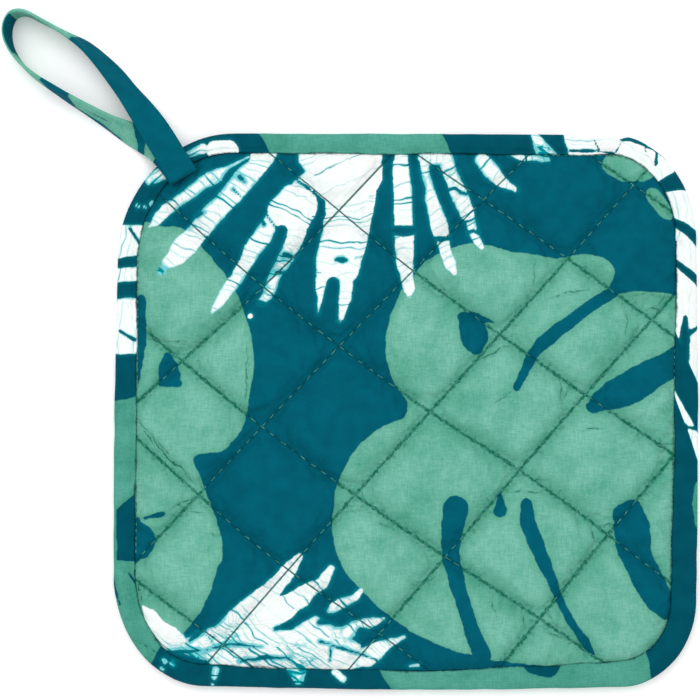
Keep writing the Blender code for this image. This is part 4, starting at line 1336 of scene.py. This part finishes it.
    # Each colour is laid over the one before it, by as much as its own mask says.
    leaf_layers = ((tone, LEAF_LIGHT), (darker, LEAF_DARK), (near_seam_shade, LEAF_DARK), (leaf_fold_shade_and_dye, LEAF_FOLD_SHADE_AND_DYE))
    ground_layers = ((ground, GROUND_LIGHT), (fringe, CRACK_DEEP), (ground_shade, GROUND_SHADE))
    white_layers = (
        (faint, WHITE_WARM), (stain, CRACK_SOFT), (vein, CRACK_DEEP), (fold_stain, CRACK_SOFT),
        (thin_seam_shade, GROUND_SHADE),
    )
    dyed = []
    for first, layers in ((LEAF_MIDDLE, leaf_layers), (GROUND_DARK, ground_layers), (WHITE, white_layers)):
        colour = linear(first)
        for mask, over in layers:
            colour = add("Mix", {0: mask, 6: colour, 7: linear(over)}, give=2, data_type="RGBA")
        dyed.append(colour)
    leaf_colour, ground_colour, white_colour = dyed
    colour = ground_colour
    for mask, over, blend in (
        (leaf_mask, leaf_colour, "MIX"), (depth, linear(DEEPER_DYE), "MULTIPLY"),
        (white_mask, white_colour, "MIX"), (ditch_dark, linear(DITCH), "MIX"),
    ):
        colour = add("Mix", {0: mask, 6: colour, 7: over}, give=2, data_type="RGBA", blend_type=blend)

    # A matt surface, with its threads and grain raised and its folds and seams sunk.
    relief = add("Math", {0: grain, 1: threads}, operation="ADD")
    for sunk, share in ((folds, -0.8), (seam, -1.0)):
        relief = add("Math", {0: sunk, 1: share, 2: relief}, operation="MULTIPLY_ADD")
    return finish_material(material, shader, colour, relief, 0.0003, 0.4, roughness=0.9, specular=0.03)


def spun_thread(name):
    """Spun cotton sewing thread: dull, a little fuzzy and uneven along its twist."""
    material, shader, mm, add = new_material(name)
    uneven = add("TexNoise", {"Vector": mm, "Scale": 1 / 0.9, "Detail": 3.0})
    tone = add("MapRange", {0: uneven, 1: 0.35, 2: 0.65})
    colour = add("Mix", {0: tone, 6: linear(THREAD_DARK), 7: linear(THREAD_LIGHT)}, give=2, data_type="RGBA")
    return finish_material(material, shader, colour, uneven, 0.0002, 0.5, roughness=0.75, specular=0.2)


def make_floor():
    """A plain pale floor under the part."""
    mesh = bpy.data.meshes.new("floor")
    half = 3.0
    corners = [(-half, -half, 0.0), (half, -half, 0.0), (half, half, 0.0), (-half, half, 0.0)]
    mesh.from_pydata(corners, [], [(0, 1, 2, 3)])
    material = bpy.data.materials.new("matt_white_paper")
    material.use_nodes = True
    shader = material.node_tree.nodes["Principled BSDF"]
    shader.inputs["Base Color"].default_value = linear("#FCFCFC")
    shader.inputs["Roughness"].default_value = 0.9
    mesh.materials.append(material)
    floor = bpy.data.objects.new("floor", mesh)
    bpy.context.scene.collection.objects.link(floor)
    floor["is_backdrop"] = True


def add_light(name, place, size, share):
    """A square soft light at a place in metres, turned to face the origin, that gives a white surface
    there a share of full white: the power is share x pi^2 x distance^2 over the cosine of its tilt."""
    x, y, z = place
    distance = math.hypot(x, y, z)
    data = bpy.data.lights.new(name, "AREA")
    data.shape, data.size, data.energy = "SQUARE", size, share * math.pi**2 * distance**2 * distance / z
    light = bpy.data.objects.new(name, data)
    light.location = place
    light.rotation_euler = (math.acos(z / distance), 0.0, math.atan2(x, -y))
    bpy.context.scene.collection.objects.link(light)


def make_light_and_camera():
    """Soft studio light from the top of the picture, and a camera that looks straight down."""
    world = bpy.data.worlds.new("studio")
    world.use_nodes = True
    background = world.node_tree.nodes["Background"].inputs
    background["Color"].default_value = linear("#FFFFFF")
    background["Strength"].default_value = 0.95
    bpy.context.scene.world = world
    add_light("key", (-0.25, 0.75, 1.2), 1.3, 0.42)
    add_light("fill", (0.3, -0.9, 1.0), 1.2, 0.09)
    bpy.context.scene.view_settings.view_transform = "Standard"
    frame_width, distance, sensor = 0.245, 0.75, 36.0
    data = bpy.data.cameras.new("camera")
    data.sensor_width = sensor
    data.lens = sensor * distance / frame_width
    camera = bpy.data.objects.new("camera", data)
    camera.location = (-0.01925, 0.0215, distance + 0.006)
    bpy.context.scene.collection.objects.link(camera)
    bpy.context.scene.camera = camera


def main():
    cotton = wax_resist_cotton("wax_resist_cotton", 0.0)
    binding_cotton = wax_resist_cotton("wax_resist_cotton_dyed_deeper", 1.0)
    thread = spun_thread("spun_thread")
    make_light_and_camera()
    make_floor()
    make_pad(cotton)
    make_binding(binding_cotton)
    make_loop(cotton)
    make_sewing(thread)


main()
boxes = {"cad": CAD_BOUNDS, "visual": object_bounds()}
{key: [list(corner) for corner in box] for key, box in boxes.items()}
